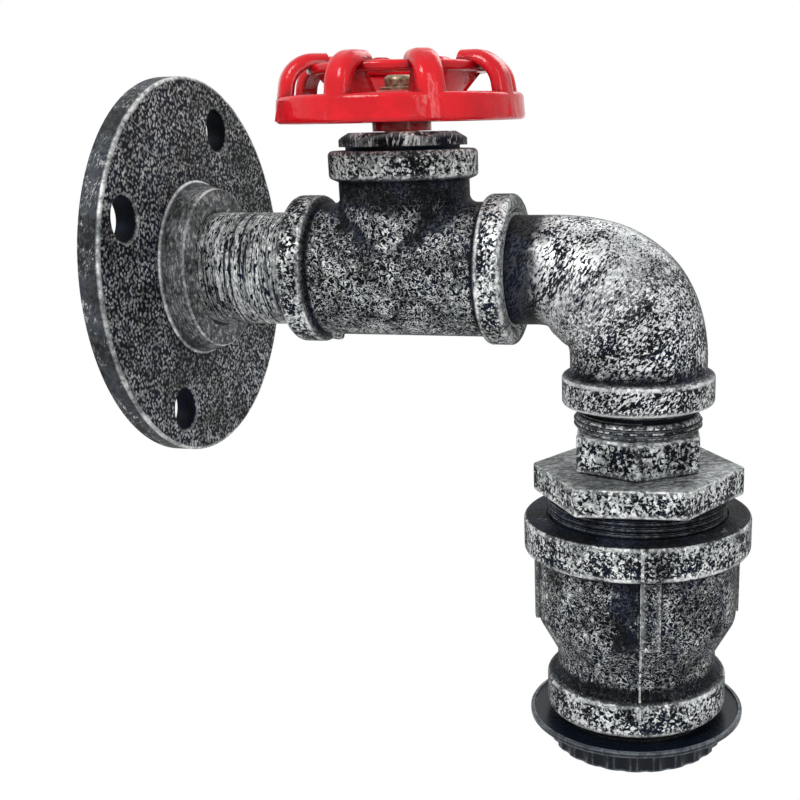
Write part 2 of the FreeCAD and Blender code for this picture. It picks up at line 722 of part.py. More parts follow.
def make_tee():
    """Cast tee: a run along the arm, a branch for the stem and three banded mouths."""
    body = new_body("tee", (0, tee_middle, 0))
    half = S.tee_length / 2
    run = S.tee_body_diameter / 2
    width, radius, edge, slope = S.band_width, S.band_diameter / 2, S.band_round, S.band_slope
    near = band(run, half, width, -1, radius, edge, slope)
    far = band(run, -half, width, 1, radius, edge, slope)
    turned(body, [(half, ZERO), *near, *reversed(far), (-half, ZERO)], "H_Axis", "YZ_Plane")
    branch = S.tee_branch_diameter / 2
    mouth = band(branch, S.tee_rise, width, -1, radius, edge, slope)
    upright = [(out, along, *rest) for along, out, *rest in [(S.tee_rise, ZERO), *mouth, (ZERO, branch)]]
    added = turned(body, [*upright, (ZERO, ZERO)])
    saddle = edges_where(added.Shape, lambda edge: edge.Curve.TypeId == "Part::GeomBSplineCurve")
    rounded(body, added, saddle, S.saddle_round)
    passage = S.tee_passage / 2
    bored(body, passage, half, -half, "H_Axis", "YZ_Plane")
    bored(body, passage, S.tee_rise, ZERO)
    threaded_mouth(body, half, -1, bore_depth, "H_Axis", "YZ_Plane")
    threaded_mouth(body, -half, 1, bore_depth, "H_Axis", "YZ_Plane")
    threaded_mouth(body, S.tee_rise, -1, bore_depth)


def bend_section(body, angle, radius, pivot, lead=ZERO):
    """A round section of the elbow's bend, swung about the pivot inside the bend."""
    swing = math.radians(angle)
    from_arm = -pivot[1]
    from_head = pivot[0]
    share = math.sin(swing) ** 2
    reach = from_arm * (1 - share) + from_head * share
    along = pivot[0] - reach * math.sin(swing) + lead * math.cos(swing)
    up = pivot[1] + reach * math.cos(swing) + lead * math.sin(swing)
    sketch = body.newObject("Sketcher::SketchObject", f"{body.Label}_section")
    sketch.AttachmentSupport = (origin_plane(body, "XZ_Plane"), [""])
    sketch.MapMode = "FlatFace"
    swung = FreeCAD.Rotation(FreeCAD.Vector(1, 0, 0), angle)
    sketch.AttachmentOffset = FreeCAD.Placement(FreeCAD.Vector(0, up.value, -along.value), swung)
    bind(sketch, "AttachmentOffset.Base.y", up)
    bind(sketch, "AttachmentOffset.Base.z", -along)
    draw_circle(sketch, (ZERO, ZERO), radius)
    return sketch


def bend(body, slim, wide, pivot):
    """Lofts the outside of the bend from the slim leg to the wide one."""
    sections = [bend_section(body, 0, slim, pivot, S.elbow_lead)]
    for step, share in enumerate(BEND_SHARES):
        angle = 90 * step / (len(BEND_SHARES) - 1)
        sections.append(bend_section(body, angle, slim + (wide - slim) * share, pivot))
    sections.append(bend_section(body, 90, wide, pivot, -S.elbow_lead))
    loft = body.newObject("PartDesign::AdditiveLoft", f"{body.Label}_bend")
    loft.Profile = sections[0]
    loft.Sections = sections[1:]
    doc.recompute()


def make_street_elbow():
    """Cast elbow with an outside thread in the tee and a banded mouth below."""
    body = new_body("street_elbow", ON_HEAD)
    slim = S.elbow_neck_diameter / 2
    wide = S.elbow_body_diameter / 2
    throat = S.elbow_throat
    pivot = (wide + throat, -(slim + throat))
    bend(body, slim, wide, pivot)
    leg_end = S.elbow_leg + S.thread_depth
    bevel = S.thread_bevel
    leg_start = pivot[0] + S.elbow_lead
    thread_start = S.elbow_leg + S.seat_gap
    turned(
        body,
        [
            (leg_start, ZERO),
            (leg_start, slim),
            (thread_start, slim),
            (thread_start, thread_radius),
            (leg_end - bevel, thread_radius),
            (leg_end, thread_radius - bevel),
            (leg_end, ZERO),
        ],
        "H_Axis",
        "YZ_Plane",
    )
    edge = S.band_round
    radius = S.elbow_band_diameter / 2
    mouth = band(wide, elbow_mouth, S.elbow_band_width, 1, radius, edge, S.band_slope)
    upright = [(out, along, *rest) for along, out, *rest in mouth]
    top = pivot[1] - S.elbow_lead
    turned(body, [(ZERO, elbow_mouth), *upright, (wide, top), (ZERO, top)])
    swept(
        body,
        lambda sketch: draw_circle(sketch, (ZERO, ZERO), S.elbow_passage / 2),
        "XZ_Plane",
        -leg_end,
        [(leg_end, ZERO), (ZERO, ZERO, slim + throat), (ZERO, elbow_mouth)],
        "YZ_Plane",
        cut=True,
    )
    above_nipple = S.tube_washer_thickness + S.earth_tag_thickness + S.seat_gap * 2
    threaded_mouth(body, elbow_mouth, 1, S.thread_depth + above_nipple)


def make_hexagon_nipple():
    """Nipple with a thread at each end, a rolled collar and a small hexagon."""
    body = new_body("hexagon_nipple", ON_HEAD, S.small_hexagon_turn)
    cast_hexagon(body, S.small_hexagon_flats, S.small_hexagon_width, small_hexagon_foot)
    groove = thread_radius + S.seat_gap
    collar = S.collar_diameter / 2
    collar_foot = collar_top - S.collar_width
    turned(
        body,
        [
            (ZERO, small_hexagon_top),
            (groove, small_hexagon_top),
            (groove, collar_foot),
            (collar, collar_foot, S.collar_width * COLLAR_ROUND),
            (collar, collar_top, S.collar_width * COLLAR_ROUND),
            (thread_radius, collar_top),
            (ZERO, collar_top),
        ],
    )
    thread_stub(body, thread_radius, collar_top, nipple_top, True)
    foot = large_hexagon_top - S.thread_depth
    thread_stub(body, thread_radius, small_hexagon_foot, foot, False)
    bored(body, S.hexagon_nipple_bore / 2, nipple_top, foot)


def make_hexagon_bushing():
    """Bushing with a large hexagon, which takes the nipple and screws into the socket."""
    body = new_body("hexagon_bushing", ON_HEAD, S.large_hexagon_turn)
    cast_hexagon(body, S.large_hexagon_flats, S.large_hexagon_width, large_hexagon_foot)
    thread_stub(body, S.large_thread / 2, large_hexagon_foot, bushing_foot, False)
    bored(body, female_thread, large_hexagon_top, bushing_foot)
    threaded_mouth(body, large_hexagon_top, -1, bore_depth)


def socket_body_outline():
    """Points of the socket's body from its upper band to the end of its shoulder."""
    wide = S.socket_body_diameter / 2
    body_top = socket_top - S.socket_collar_width
    shoulder = body_top - S.socket_body_length
    return [
        (wide, body_top - S.band_slope),
        (wide, shoulder, S.socket_swell),
        (S.socket_waist_diameter / 2, shoulder - S.socket_shoulder, S.socket_swell),
    ]


def make_reducing_socket():
    """Bell-shaped socket with a band at each end and moulded grip ribs."""
    body = new_body("reducing_socket", ON_HEAD, S.rib_turn)
    collar = S.socket_collar_diameter / 2
    foot = S.socket_foot_diameter / 2
    edge = S.socket_round
    collar_foot = socket_top - S.socket_collar_width
    foot_top = socket_foot + S.socket_foot_width
    thread = S.large_thread / 2 + S.thread_play
    thread_end = bushing_foot - S.thread_relief
    cavity_end = socket_foot + S.socket_cavity_end
    throat_end = socket_foot + S.socket_throat_end
    throat = S.holder_diameter / 2 + S.holder_play
    turned(
        body,
        [
            (collar, socket_top, edge),
            (collar, collar_foot, edge),
            *socket_body_outline(),
            (S.socket_waist_diameter / 2, foot_top + S.band_slope, edge),
            (foot, foot_top, edge),
            (foot, socket_foot, edge),
            (throat, socket_foot),
            (throat, throat_end),
            (S.socket_cavity / 2, cavity_end),
            (S.socket_cavity / 2, thread_end),
            (thread, thread_end),
            (thread, socket_top - S.mouth_bevel),
            (thread + S.mouth_bevel, socket_top),
        ],
    )
    rib_top = collar_foot + S.socket_round
    rib_foot = collar_foot - S.socket_body_length
    inside = S.socket_body_diameter / 2 - S.rib_height
    outside = S.socket_body_diameter / 2 + S.rib_height
    sketch = new_sketch(body, "XZ_Plane")
    draw_outline(sketch, [(outside, rib_top), (outside, rib_foot), (inside, rib_foot), (inside, rib_top)])
    rib = body.newObject("PartDesign::Revolution", "grip_rib")
    rib.Profile = sketch
    rib.ReferenceAxis = (sketch, ["V_Axis"])
    rib.Midplane = True
    rib_share = S.rib_width * (360 / math.pi) / S.socket_body_diameter
    bind(rib, "Angle", rib_share)
    doc.recompute()
    repeated(body, rib, RIB_COUNT)


def make_stem_bushing():
    """Hexagon plug in the tee's branch, bored for the stem."""
    body = new_body("stem_bushing", ON_STEM, S.plug_turn)
    flats = S.plug_flats
    raised(body, lambda sketch: draw_outline(sketch, hexagon_corners(flats)), S.plug_width, plug_foot)
    cut_corners(body, flats, plug_top)
    thread_stub(body, thread_radius, plug_foot, plug_end, False)
    bored(body, S.stem_diameter / 2 + S.stem_play, plug_top, plug_end)


def make_stem():
    """Stem that turns in its bushing: a square above for the wheel, a thread below."""
    body = new_body("stem", ON_STEM, S.arch_turn)
    square_foot = wheel_hub_top - S.wheel_hub_web
    square_top = wheel_hub_top - S.seat_gap
    foot = stem_nut_foot - S.stem_end
    thread = S.stem_thread_diameter / 2
    turned(
        body,
        [
            (ZERO, foot),
            (thread - S.seat_gap, foot),
            (thread, foot + S.seat_gap),
            (thread, stem_shoulder),
            (S.stem_diameter / 2, stem_shoulder),
            (S.stem_diameter / 2, square_foot),
            (ZERO, square_foot),
        ],
    )
    raised(body, draw_block(S.stem_square, S.stem_square), square_top - square_foot, square_foot)
    bored(body, S.wheel_screw_diameter / 2, square_top, square_top - S.wheel_screw_length)


def arch_section(middle):
    """Section of the wheel's arch: well rounded outside, flatter inside."""
    half = S.arch_width / 2
    outside = middle + S.arch_thickness / 2
    inside = middle - S.arch_thickness / 2
    return [
        (inside, -half, S.arch_inner_round),
        (outside, -half, S.arch_round),
        (outside, half, S.arch_round),
        (inside, half, S.arch_inner_round),
    ]


def web_window_corners():
    """A rounded window of the wheel's cone, midway between two arches."""
    turn = math.radians(180 / ARCH_COUNT * 3)
    corners = []
    for reach, width in (
        (S.web_window_near, -S.web_window_narrow),
        (S.web_window_far, -S.web_window_wide),
        (S.web_window_far, S.web_window_wide),
        (S.web_window_near, S.web_window_narrow),
    ):
        x = reach * math.cos(turn) - width / 2 * math.sin(turn)
        y = reach * math.sin(turn) + width / 2 * math.cos(turn)
        corners.append((x, y, S.web_window_round))
    return corners


def make_handwheel():
    """Cast wheel: a rim, leaning arches up to a ring, a cone with windows and a long neck."""
    body = new_body("handwheel", (0, tee_middle, rim_foot), S.arch_turn)
    outside = S.wheel_diameter / 2
    inside = outside - S.wheel_rim_wall
    top = S.wheel_rim_height
    edge = S.wheel_round
    draft = S.wheel_rim_draft
    turned(
        body,
        [
            (inside, ZERO),
            (outside, ZERO, edge),
            (outside - draft, top, edge),
            (inside - draft, top, edge),
        ],
    )
    arch_middle = outside + S.arch_proud - S.arch_thickness / 2
    arch_level = S.arch_height - S.arch_thickness / 2
    ring = S.ring_diameter / 2
    half_ring = S.ring_width / 2
    arch = swept(
        body,
        lambda sketch: draw_outline(sketch, arch_section(arch_middle)),
        "XY_Plane",
        S.arch_foot,
        [
            (arch_middle, S.arch_foot),
            (arch_middle - S.arch_lean, arch_level, S.arch_bend),
            (ring - half_ring, arch_level),
        ],
    )
    repeated(body, arch, ARCH_COUNT)
    ring_foot = S.ring_top - S.ring_height
    ring_round = S.ring_height * RING_ROUND
    turned(
        body,
        [
            (ring - half_ring, ring_foot, ring_round),
            (ring + half_ring, ring_foot, ring_round),
            (ring + half_ring, S.ring_top, ring_round),
            (ring - half_ring, S.ring_top, ring_round),
        ],
    )
    thick = S.web_thickness
    knee = S.web_knee
    bend_radius = S.web_bend
    middle = S.neck_diameter / 4
    web_top = ring_foot + half_ring / 2
    turned(
        body,
        [
            (middle, ZERO),
            (knee, ZERO, bend_radius),
            (ring + half_ring / 2, web_top),
            (ring - half_ring / 2, web_top),
            (knee, thick, bend_radius),
            (middle, thick),
        ],
    )
    corners = web_window_corners()
    window = raised(
        body,
        lambda sketch: draw_outline(sketch, corners),
        ring_foot,
        ring_foot,
        down=True,
        cut=True,
    )
    repeated(body, window, WEB_WINDOW_COUNT)
    hub_top = S.wheel_hub_height
    flare = hub_top - S.wheel_hub_flare
    hub = S.wheel_hub_diameter / 2
    turned(
        body,
        [
            (ZERO, -S.wheel_lift),
            (S.neck_diameter / 2, -S.wheel_lift),
            (S.neck_diameter / 2, flare),
            (hub, hub_top, edge),
            (ZERO, hub_top),
        ],
    )
    bored(body, S.stem_diameter / 2 + S.square_play, hub_top - S.wheel_hub_web, -S.wheel_lift)
    hole = S.stem_square + S.square_play * 2
    raised(body, draw_block(hole, hole), S.wheel_hub_web, hub_top, down=True, cut=True)


def make_wheel_screw():
    """Pan-head screw that holds the wheel on the stem."""
    body = new_body("wheel_screw", ON_STEM)
    seat = wheel_hub_top + S.wheel_washer_thickness
    head_top = seat + S.wheel_screw_head_height
    head = S.wheel_screw_head / 2
    end = wheel_hub_top - S.seat_gap - S.wheel_screw_length
    turned(
        body,
        [
            (ZERO, end),
            (S.wheel_screw_diameter / 2, end),
            (S.wheel_screw_diameter / 2, seat),
            (head, seat),
            (head, head_top, S.wheel_screw_head_height * HEAD_ROUND),
            (ZERO, head_top),
        ],
    )
    reach = S.wheel_screw_head * CROSS_REACH
    slot = reach * CROSS_SHARE
    for long_x, long_y in ((reach, slot), (slot, reach)):
        depth = S.wheel_screw_head_height / 2
        raised(body, draw_block(long_x, long_y), depth, head_top, down=True, cut=True)


def make_shade_ring():
    """Ring on the barrel's thread that clamps a shade: a shallow dish over a fluted grip."""
    body = new_body("shade_ring", ON_HEAD)
    bore = S.barrel_diameter / 2 + S.shade_ring_play
    rim = S.shade_ring_diameter / 2
    inside = rim - S.shade_ring_lip_width
    lip_top = dish_floor + S.shade_ring_lip
    grip = S.grip_diameter / 2
    grip_foot = dish_foot - S.grip_height
    edge = S.grip_round
    turned(
        body,
        [
            (bore, dish_floor),
            (inside, dish_floor + S.shade_ring_rise, edge / 2),
            (inside, lip_top),
            (rim, lip_top, edge / 2),
            (rim, lip_top - S.shade_ring_edge, edge / 2),
            (grip, dish_foot),
            (grip, grip_foot, edge),
            (bore, grip_foot, edge / 2),
        ],
    )
    flute_middle = grip - S.flute_depth + S.flute_width / 2
    flute = raised(
        body,
        lambda sketch: draw_circle(sketch, (flute_middle, ZERO), S.flute_width / 2),
        S.grip_height,
        grip_foot,
        cut=True,
    )
    repeated(body, flute, FLUTE_COUNT)


def make_holder_sleeve():
    """Lampholder sleeve: a threaded barrel below the socket and a plain bore for the shell."""
    body = new_body("holder_sleeve", ON_HEAD)
    barrel = S.barrel_diameter / 2
    neck = S.holder_diameter / 2
    bore = S.sleeve_bore / 2
    seat = S.block_seat / 2
    bevel = S.seat_gap
    turned(
        body,
        [
            (bore + bevel, barrel_foot),
            (barrel - bevel, barrel_foot),
            (barrel, barrel_foot + bevel),
            (barrel, socket_foot),
            (neck, socket_foot),
            (neck, sleeve_top),
            (seat, sleeve_top),
            (seat, block_foot),
            (bore, block_foot),
            (bore, barrel_foot + bevel),
        ],
    )


def make_screw_shell():
    """Metal shell that takes the lamp's cap, with a flange turned in against the block."""
    body = new_body("screw_shell", ON_HEAD)
    inside = S.shell_bore / 2
    wall = S.shell_wall
    throat = inside - S.shell_step
    under = block_foot - wall
    lip = inside - S.shell_lip
    turned(
        body,
        [
            (inside, shell_foot),
            (inside + wall, shell_foot),
            (inside + wall, shell_thread_top),
            (throat + wall, shell_thread_top + S.shell_step),
            (throat + wall, block_foot, wall),
            (lip, block_foot),
            (lip, under),
            (throat, under),
            (throat, shell_thread_top + S.shell_step),
            (inside, shell_thread_top),
        ],
    )
    drill_rivets(body, under, S.shell_wall)


def drill_rivets(body, foot, thickness, sides=(1, -1)):
    """Clearance holes for the rivets on the Y axis of the head, upwards from a level."""
    radius = S.rivet_diameter / 2 + S.nut_play
    for side in sides:
        place = (ZERO, S.rivet_spacing / 2 * side)
        raised(body, lambda sketch: draw_circle(sketch, place, radius), thickness, foot, cut=True)


def make_contact_block():
    """Ceramic disc that carries the contacts, with a well for the spring."""
    body = new_body("contact_block", ON_HEAD)
    radius = S.block_seat / 2 - S.block_play
    turned(
        body,
        [
            (ZERO, block_foot),
            (radius, block_foot),
            (radius, block_top, S.grip_round),
            (ZERO, block_top),
        ],
    )
    bored(body, S.plunger_stem / 2 + S.plunger_play, block_top, block_foot)
    well = S.plunger_head / 2 + S.spring_well_gap
    bored(body, well, block_foot + S.spring_well, block_foot)
    drill_rivets(body, block_foot, S.block_thickness)


def make_holder_cap():
    """Cap over the terminals, with a neck that the hanging tube screws into."""
    body = new_body("holder_cap", ON_HEAD)
    outside = S.holder_diameter / 2
    inside = outside - S.cap_wall
    side_top = sleeve_top + S.cap_side
    bore = S.tube_diameter / 2 + S.nut_play
    neck = S.cap_neck_diameter / 2
    turned(
        body,
        [
            (outside, sleeve_top),
            (outside, side_top, S.socket_round),
            (neck, cap_shoulder),
            (neck, cap_neck_top),
            (bore, cap_neck_top),
            (bore, tube_foot),
            (neck - S.cap_wall, tube_foot),
            (inside, side_top - S.cap_wall),
            (inside, sleeve_top),
        ],
    )


def make_shell_rivets():
    """Two rivets that hold the shell to the block, one of them through the neutral strap."""
    under = block_foot - S.shell_wall
    head = S.rivet_head_height
    posts = []
    for side, strap in ((1, S.strap_thickness), (-1, ZERO)):
        along = head_axis + S.rivet_spacing / 2 * side
        seat = block_top + strap
        posts.append(post(S.rivet_head, under - head, head, ZERO, along))
        posts.append(post(S.rivet_diameter, under, seat - under, ZERO, along))
        posts.append(post(S.rivet_head, seat, head, ZERO, along))
    joined("shell_rivets", posts)


def post(across, foot, tall, aside, along):
    """An upright cylinder at a place, to be joined into a group."""
    cylinder = doc.addObject("Part::Cylinder", "post")
    bind(cylinder, "Radius", across / 2)
    bind(cylinder, "Height", tall)
    bind(cylinder, "Placement.Base.x", aside)
    bind(cylinder, "Placement.Base.y", along)
    bind(cylinder, "Placement.Base.z", foot)
    return cylinder


def joined(label, posts):
    """One piece from cylinders that touch, or a group of such pieces."""
    group = doc.addObject("Part::MultiFuse", label)
    group.Label = label
    group.Shapes = posts
    pieces.append(group)


def make_terminal(label, turn, strap_corners):
    """Brass block on a strap, with a hole for the wire and one for its screw."""
    body = new_body(label, ON_HEAD, turn)
    raised(body, lambda sketch: draw_outline(sketch, strap_corners), S.strap_thickness, block_top)
    seat = block_top + S.strap_thickness
    middle = S.terminal_spacing / 2
    height = S.terminal_height - S.strap_thickness
    raised(body, draw_block(S.terminal_width, S.terminal_depth, None, middle, ZERO), height, seat)
    wire = S.wire_diameter / 2 + S.nut_play
    level = block_top + S.wire_to_terminal
    near = middle - S.terminal_width / 2
    raised(
        body,
        lambda sketch: draw_circle(sketch, (ZERO, level), wire),
        S.terminal_width,
        near,
        cut=True,
        role="YZ_Plane",
    )
    screw = S.terminal_screw_diameter / 2 + S.nut_play
    top = block_top + S.terminal_height
    raised(
        body,
        lambda sketch: draw_circle(sketch, (middle, ZERO), screw),
        top - level,
        top,
        down=True,
        cut=True,
    )
    return body


def make_live_terminal():
    """Terminal whose strap reaches round the stem of the centre contact."""
    half = S.terminal_width / 2
    far = S.terminal_spacing / 2 + half
    past = S.clip_diameter / 2
    corners = [(-past, -half), (far, -half), (far, half), (-past, half)]
    body = make_terminal("live_terminal", S.half_turn, corners)
    hole = S.plunger_stem / 2 + S.strap_hole_gap
    bored(body, hole, block_top + S.strap_thickness, block_top)


def make_neutral_terminal():
    """Terminal whose strap runs aside to a rivet of the shell."""
    near = (S.terminal_spacing - S.terminal_width) / 2
    far = near + S.terminal_width
    half = S.terminal_depth / 2
    edge = S.rivet_head / 2
    rivet = S.rivet_spacing / 2
    corners = [
        (near, -half),
        (far, -half),
        (far, half),
        (edge, rivet + edge),
        (-edge, rivet + edge),
        (-edge, rivet - edge),
        (near, half),
    ]
    body = make_terminal("neutral_terminal", ZERO, corners)
    drill_rivets(body, block_top, S.strap_thickness, sides=(1,))


def make_terminal_screws():
    """Two screws that clamp the wires in their terminals."""
    top = block_top + S.terminal_height
    foot = block_top + S.wire_to_terminal + S.wire_diameter / 2 + S.block_play / 2
    posts = []
    for side in (1, -1):
        aside = S.terminal_spacing / 2 * side
        posts.append(post(S.terminal_screw_diameter, foot, top - foot, aside, head_axis))
        posts.append(post(S.terminal_head_diameter, top, S.terminal_head_height, aside, head_axis))
    joined("terminal_screws", posts)


def make_contact_plunger():
    """Centre contact: a head that touches the lamp and a stem through the block."""
    body = new_body("contact_plunger", ON_HEAD)
    head_foot = block_foot - S.plunger_reach
    head_top = head_foot + S.plunger_head_height
    head = S.plunger_head / 2
    stem = S.plunger_stem / 2
    turned(
        body,
        [
            (ZERO, head_foot),
            (head, head_foot, S.grip_round),
            (head, head_top),
            (stem, head_top),
            (stem, clip_top + S.plunger_end),
            (ZERO, clip_top + S.plunger_end),
        ],
    )


def make_contact_spring():
    """Coil spring between the plunger's head and the roof of its well."""
    gap = S.turning_gap.value / 2
    wire = S.spring_wire.value / 2
    low = value_of(block_foot - S.plunger_reach + S.plunger_head_height) + wire + gap
    high = value_of(block_foot + S.spring_well) - wire - gap
    radius = S.plunger_head.value / 2 - wire - gap
    rise = (high - low) / S.spring_turns.value
    count = int(S.spring_turns.value * ARCS_PER_TURN)
    ends = [turn_point(radius, rise, k / ARCS_PER_TURN) for k in range(count + 1)]
    arcs = []
    for k, (start, finish) in enumerate(zip(ends, ends[1:])):
        middle = turn_point(radius, rise, (k + 0.5) / ARCS_PER_TURN)
        arcs.append(Part.Arc(start, middle, finish).toShape())
    across = Part.Circle(ends[0], arcs[0].tangentAt(arcs[0].FirstParameter), wire)
    coil = Part.Wire(arcs).makePipeShell([Part.Wire(across.toShape())], True, False)
    place_shape("contact_spring", coil, FreeCAD.Vector(0, value_of(head_axis), low))


def turn_point(radius, rise, turns):
    """A point of a coil after so many turns."""
    angle = 2 * math.pi * turns
    return FreeCAD.Vector(radius * math.cos(angle), radius * math.sin(angle), rise * turns)


def place_shape(label, shape, place):
    """A piece made from a ready shape, put at its place."""
    piece = doc.addObject("Part::Feature", label)
    piece.Label = label
    piece.Shape = shape
    piece.Placement = FreeCAD.Placement(place, FreeCAD.Rotation())
    pieces.append(piece)


def make_hanging_tube():
    """Threaded tube that hangs the lampholder from the hexagon nipple."""
    body = new_body("hanging_tube", ON_HEAD)
    inside = S.tube_bore / 2
    outside = S.tube_diameter / 2
    turned(
        body,
        [(inside, tube_foot), (outside, tube_foot), (outside, tube_top), (inside, tube_top)],
    )


def make_washers_and_nuts():
    """The plain washers and nuts, each at its seat."""
    play = S.block_play * 2
    disc_with_hole(
        "tube_washer",
        (0, head_axis, nipple_top),
        S.tube_washer_diameter,
        S.tube_diameter + play,
        S.tube_washer_thickness,
    )
    disc_with_hole(
        "stem_washer",
        (0, tee_middle, stem_washer_foot),
        S.stem_washer_diameter,
        S.stem_thread_diameter + play,
        S.stem_washer_thickness,
    )
    disc_with_hole(
        "wheel_washer",
        (0, tee_middle, wheel_hub_top),
        S.wheel_washer_diameter,
        S.wheel_screw_diameter + play,
        S.wheel_washer_thickness,
    )
    disc_with_hole(
        "plunger_clip",
        (0, head_axis, clip_foot),
        S.clip_diameter,
        S.plunger_stem + S.plunger_play * 2,
        S.clip_thickness,
    )
    tube_bore = S.tube_diameter + S.nut_play * 2
    stem_bore = S.stem_thread_diameter + S.nut_play * 2
    locknut_foot = cap_neck_top + S.seat_gap
    nut("tube_nut", (0, head_axis, earth_tag_top), S.tube_nut_flats, tube_bore, S.tube_nut_height)
    nut("tube_locknut", (0, head_axis, locknut_foot), S.tube_nut_flats, tube_bore, S.tube_locknut_height)
    nut("stem_nut", (0, tee_middle, stem_nut_foot), S.stem_nut_flats, stem_bore, S.stem_nut_height)


def make_earth_tag():
    """Ring under the tube's nut with a tail for the earth wire."""
    body = new_body("earth_tag", (0, head_axis, tube_washer_top), S.earth_tag_turn)
    radius = S.earth_tag_diameter / 2
    thickness = S.earth_tag_thickness
    raised(body, lambda sketch: draw_circle(sketch, (ZERO, ZERO), radius), thickness)
    tail = S.earth_tag_reach + S.earth_tag_width / 2
    draw = draw_block(tail, S.earth_tag_width, S.earth_tag_width * RING_ROUND, tail / 2, ZERO)
    raised(body, draw, thickness)
    bored(body, S.tube_diameter / 2 + S.block_play, thickness, ZERO)


def routed(points, radii, thickness):
    """A round wire along straight runs joined by arcs."""
    spots = [FreeCAD.Vector(*point) for point in points]
    edges = []
    start = spots[0]
    for i, radius in enumerate(radii, start=1):
        back = (spots[i - 1] - spots[i]).normalize()
        ahead = (spots[i + 1] - spots[i]).normalize()
        half = back.getAngle(ahead) / 2
        reach = radius / math.tan(half)
        centre = spots[i] + (back + ahead).normalize() * (radius / math.sin(half))
        middle = centre + (spots[i] - centre).normalize() * radius
        edges.append(Part.LineSegment(start, spots[i] + back * reach).toShape())
        start = spots[i] + ahead * reach
        edges.append(Part.Arc(spots[i] + back * reach, middle, start).toShape())
    edges.append(Part.LineSegment(start, spots[-1]).toShape())
    along = spots[1] - spots[0]
    section = Part.Wire(Part.Circle(spots[0], along, thickness / 2).toShape())
    return Part.Wire(edges).makePipeShell([section], True, False)


def make_wires():
    """Live and neutral wires to the terminals, and the earth wire to its tag."""
    thickness = S.wire_diameter.value
    start = -S.wire_inset.value
    head = value_of(head_axis)
    bend_radius = S.wire_bend.value
    level = -S.wire_level.value
    low = value_of(block_top + S.wire_to_terminal)
    for label, side in (("live_wire", -1), ("neutral_wire", 1)):
        aside = side * S.wire_spread.value / 2
        end = side * S.terminal_spacing.value / 2
        points = [(aside, start, level), (aside, head, level), (aside, head, low), (end, head, low)]
        shape = routed(points, (bend_radius, S.wire_turn_in.value), thickness)
        place_shape(label, shape, FreeCAD.Vector(0, 0, 0))
    turn = math.radians(S.earth_tag_turn.value)
    aside = S.earth_tag_reach.value * math.cos(turn)
    down = head + S.earth_tag_reach.value * math.sin(turn)
    level = -S.earth_level.value
    points = [(aside, start, level), (aside, down, level), (aside, down, value_of(earth_tag_top))]
    place_shape("earth_wire", routed(points, (bend_radius,), thickness), FreeCAD.Vector(0, 0, 0))


MAKERS = (
    make_wall_flange,
    make_wall_nipple,
    make_tee,
    make_street_elbow,
    make_hexagon_nipple,
    make_hexagon_bushing,
    make_reducing_socket,
    make_stem_bushing,
    make_stem,
    make_handwheel,
    make_wheel_screw,
    make_shade_ring,
    make_holder_sleeve,
    make_screw_shell,
    make_contact_block,
    make_holder_cap,
    make_shell_rivets,
    make_live_terminal,
    make_neutral_terminal,
    make_terminal_screws,
    make_contact_plunger,
    make_contact_spring,
    make_hanging_tube,
    make_washers_and_nuts,
    make_earth_tag,
    make_wires,
)
for maker in MAKERS:
    maker()
doc.recompute()

for thing in doc.Objects:
    if "Invalid" in thing.State or "Error" in thing.State:
        raise RuntimeError(f"{thing.Name} failed: {thing.State}")
for piece in pieces:
    if piece.Shape.isNull() or not piece.Shape.isValid():
        raise RuntimeError(f"{piece.Label} has no valid shape")

os.makedirs("parts", exist_ok=True)
for piece in pieces:
    piece.Shape.exportStep(f"parts/{piece.Label}.step")
    print(piece.Label, len(piece.Shape.Solids), round(piece.Shape.Volume, 2))
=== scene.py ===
import json
import math

import bmesh
import bpy
from mathutils import Matrix, Vector


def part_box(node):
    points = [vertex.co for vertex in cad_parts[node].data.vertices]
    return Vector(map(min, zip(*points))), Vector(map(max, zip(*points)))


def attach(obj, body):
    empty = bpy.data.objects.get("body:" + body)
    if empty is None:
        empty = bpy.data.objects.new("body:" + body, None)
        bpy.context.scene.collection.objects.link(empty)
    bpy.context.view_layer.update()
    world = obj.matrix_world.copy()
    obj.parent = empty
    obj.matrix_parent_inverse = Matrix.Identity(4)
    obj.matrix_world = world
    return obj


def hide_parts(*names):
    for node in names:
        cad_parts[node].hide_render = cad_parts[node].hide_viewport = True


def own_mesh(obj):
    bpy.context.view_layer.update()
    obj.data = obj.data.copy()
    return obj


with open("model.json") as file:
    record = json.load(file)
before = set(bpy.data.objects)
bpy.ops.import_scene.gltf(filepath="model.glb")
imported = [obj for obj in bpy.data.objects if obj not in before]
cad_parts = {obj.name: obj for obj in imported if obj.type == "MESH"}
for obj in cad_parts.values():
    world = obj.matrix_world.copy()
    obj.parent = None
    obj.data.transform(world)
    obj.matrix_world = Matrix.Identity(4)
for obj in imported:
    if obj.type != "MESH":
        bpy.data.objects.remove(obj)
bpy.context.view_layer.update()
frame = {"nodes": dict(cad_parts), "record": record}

# Dresses the pipe wall light. Metres; +Z is up, the wall is y = 0 and the arm runs along -Y.

MM = 0.001


# ---------------------------------------------------------------- the photograph's view

FRAME_PIXELS = 800
SENSOR_MM = 36.0
CAMERA_PLACE = Vector((-276.49, -154.89, 32.20)) * MM
CAMERA_LOOK = Vector((0.92627, 0.23868, -0.29166))
CAMERA_RIGHT = Vector((0.24303, -0.96977, -0.02180))
FOCAL_PIXELS = 1213.96
PRINCIPAL_POINT = (512.9, 495.4)
CLIP_START = 0.01
CLIP_END = 20


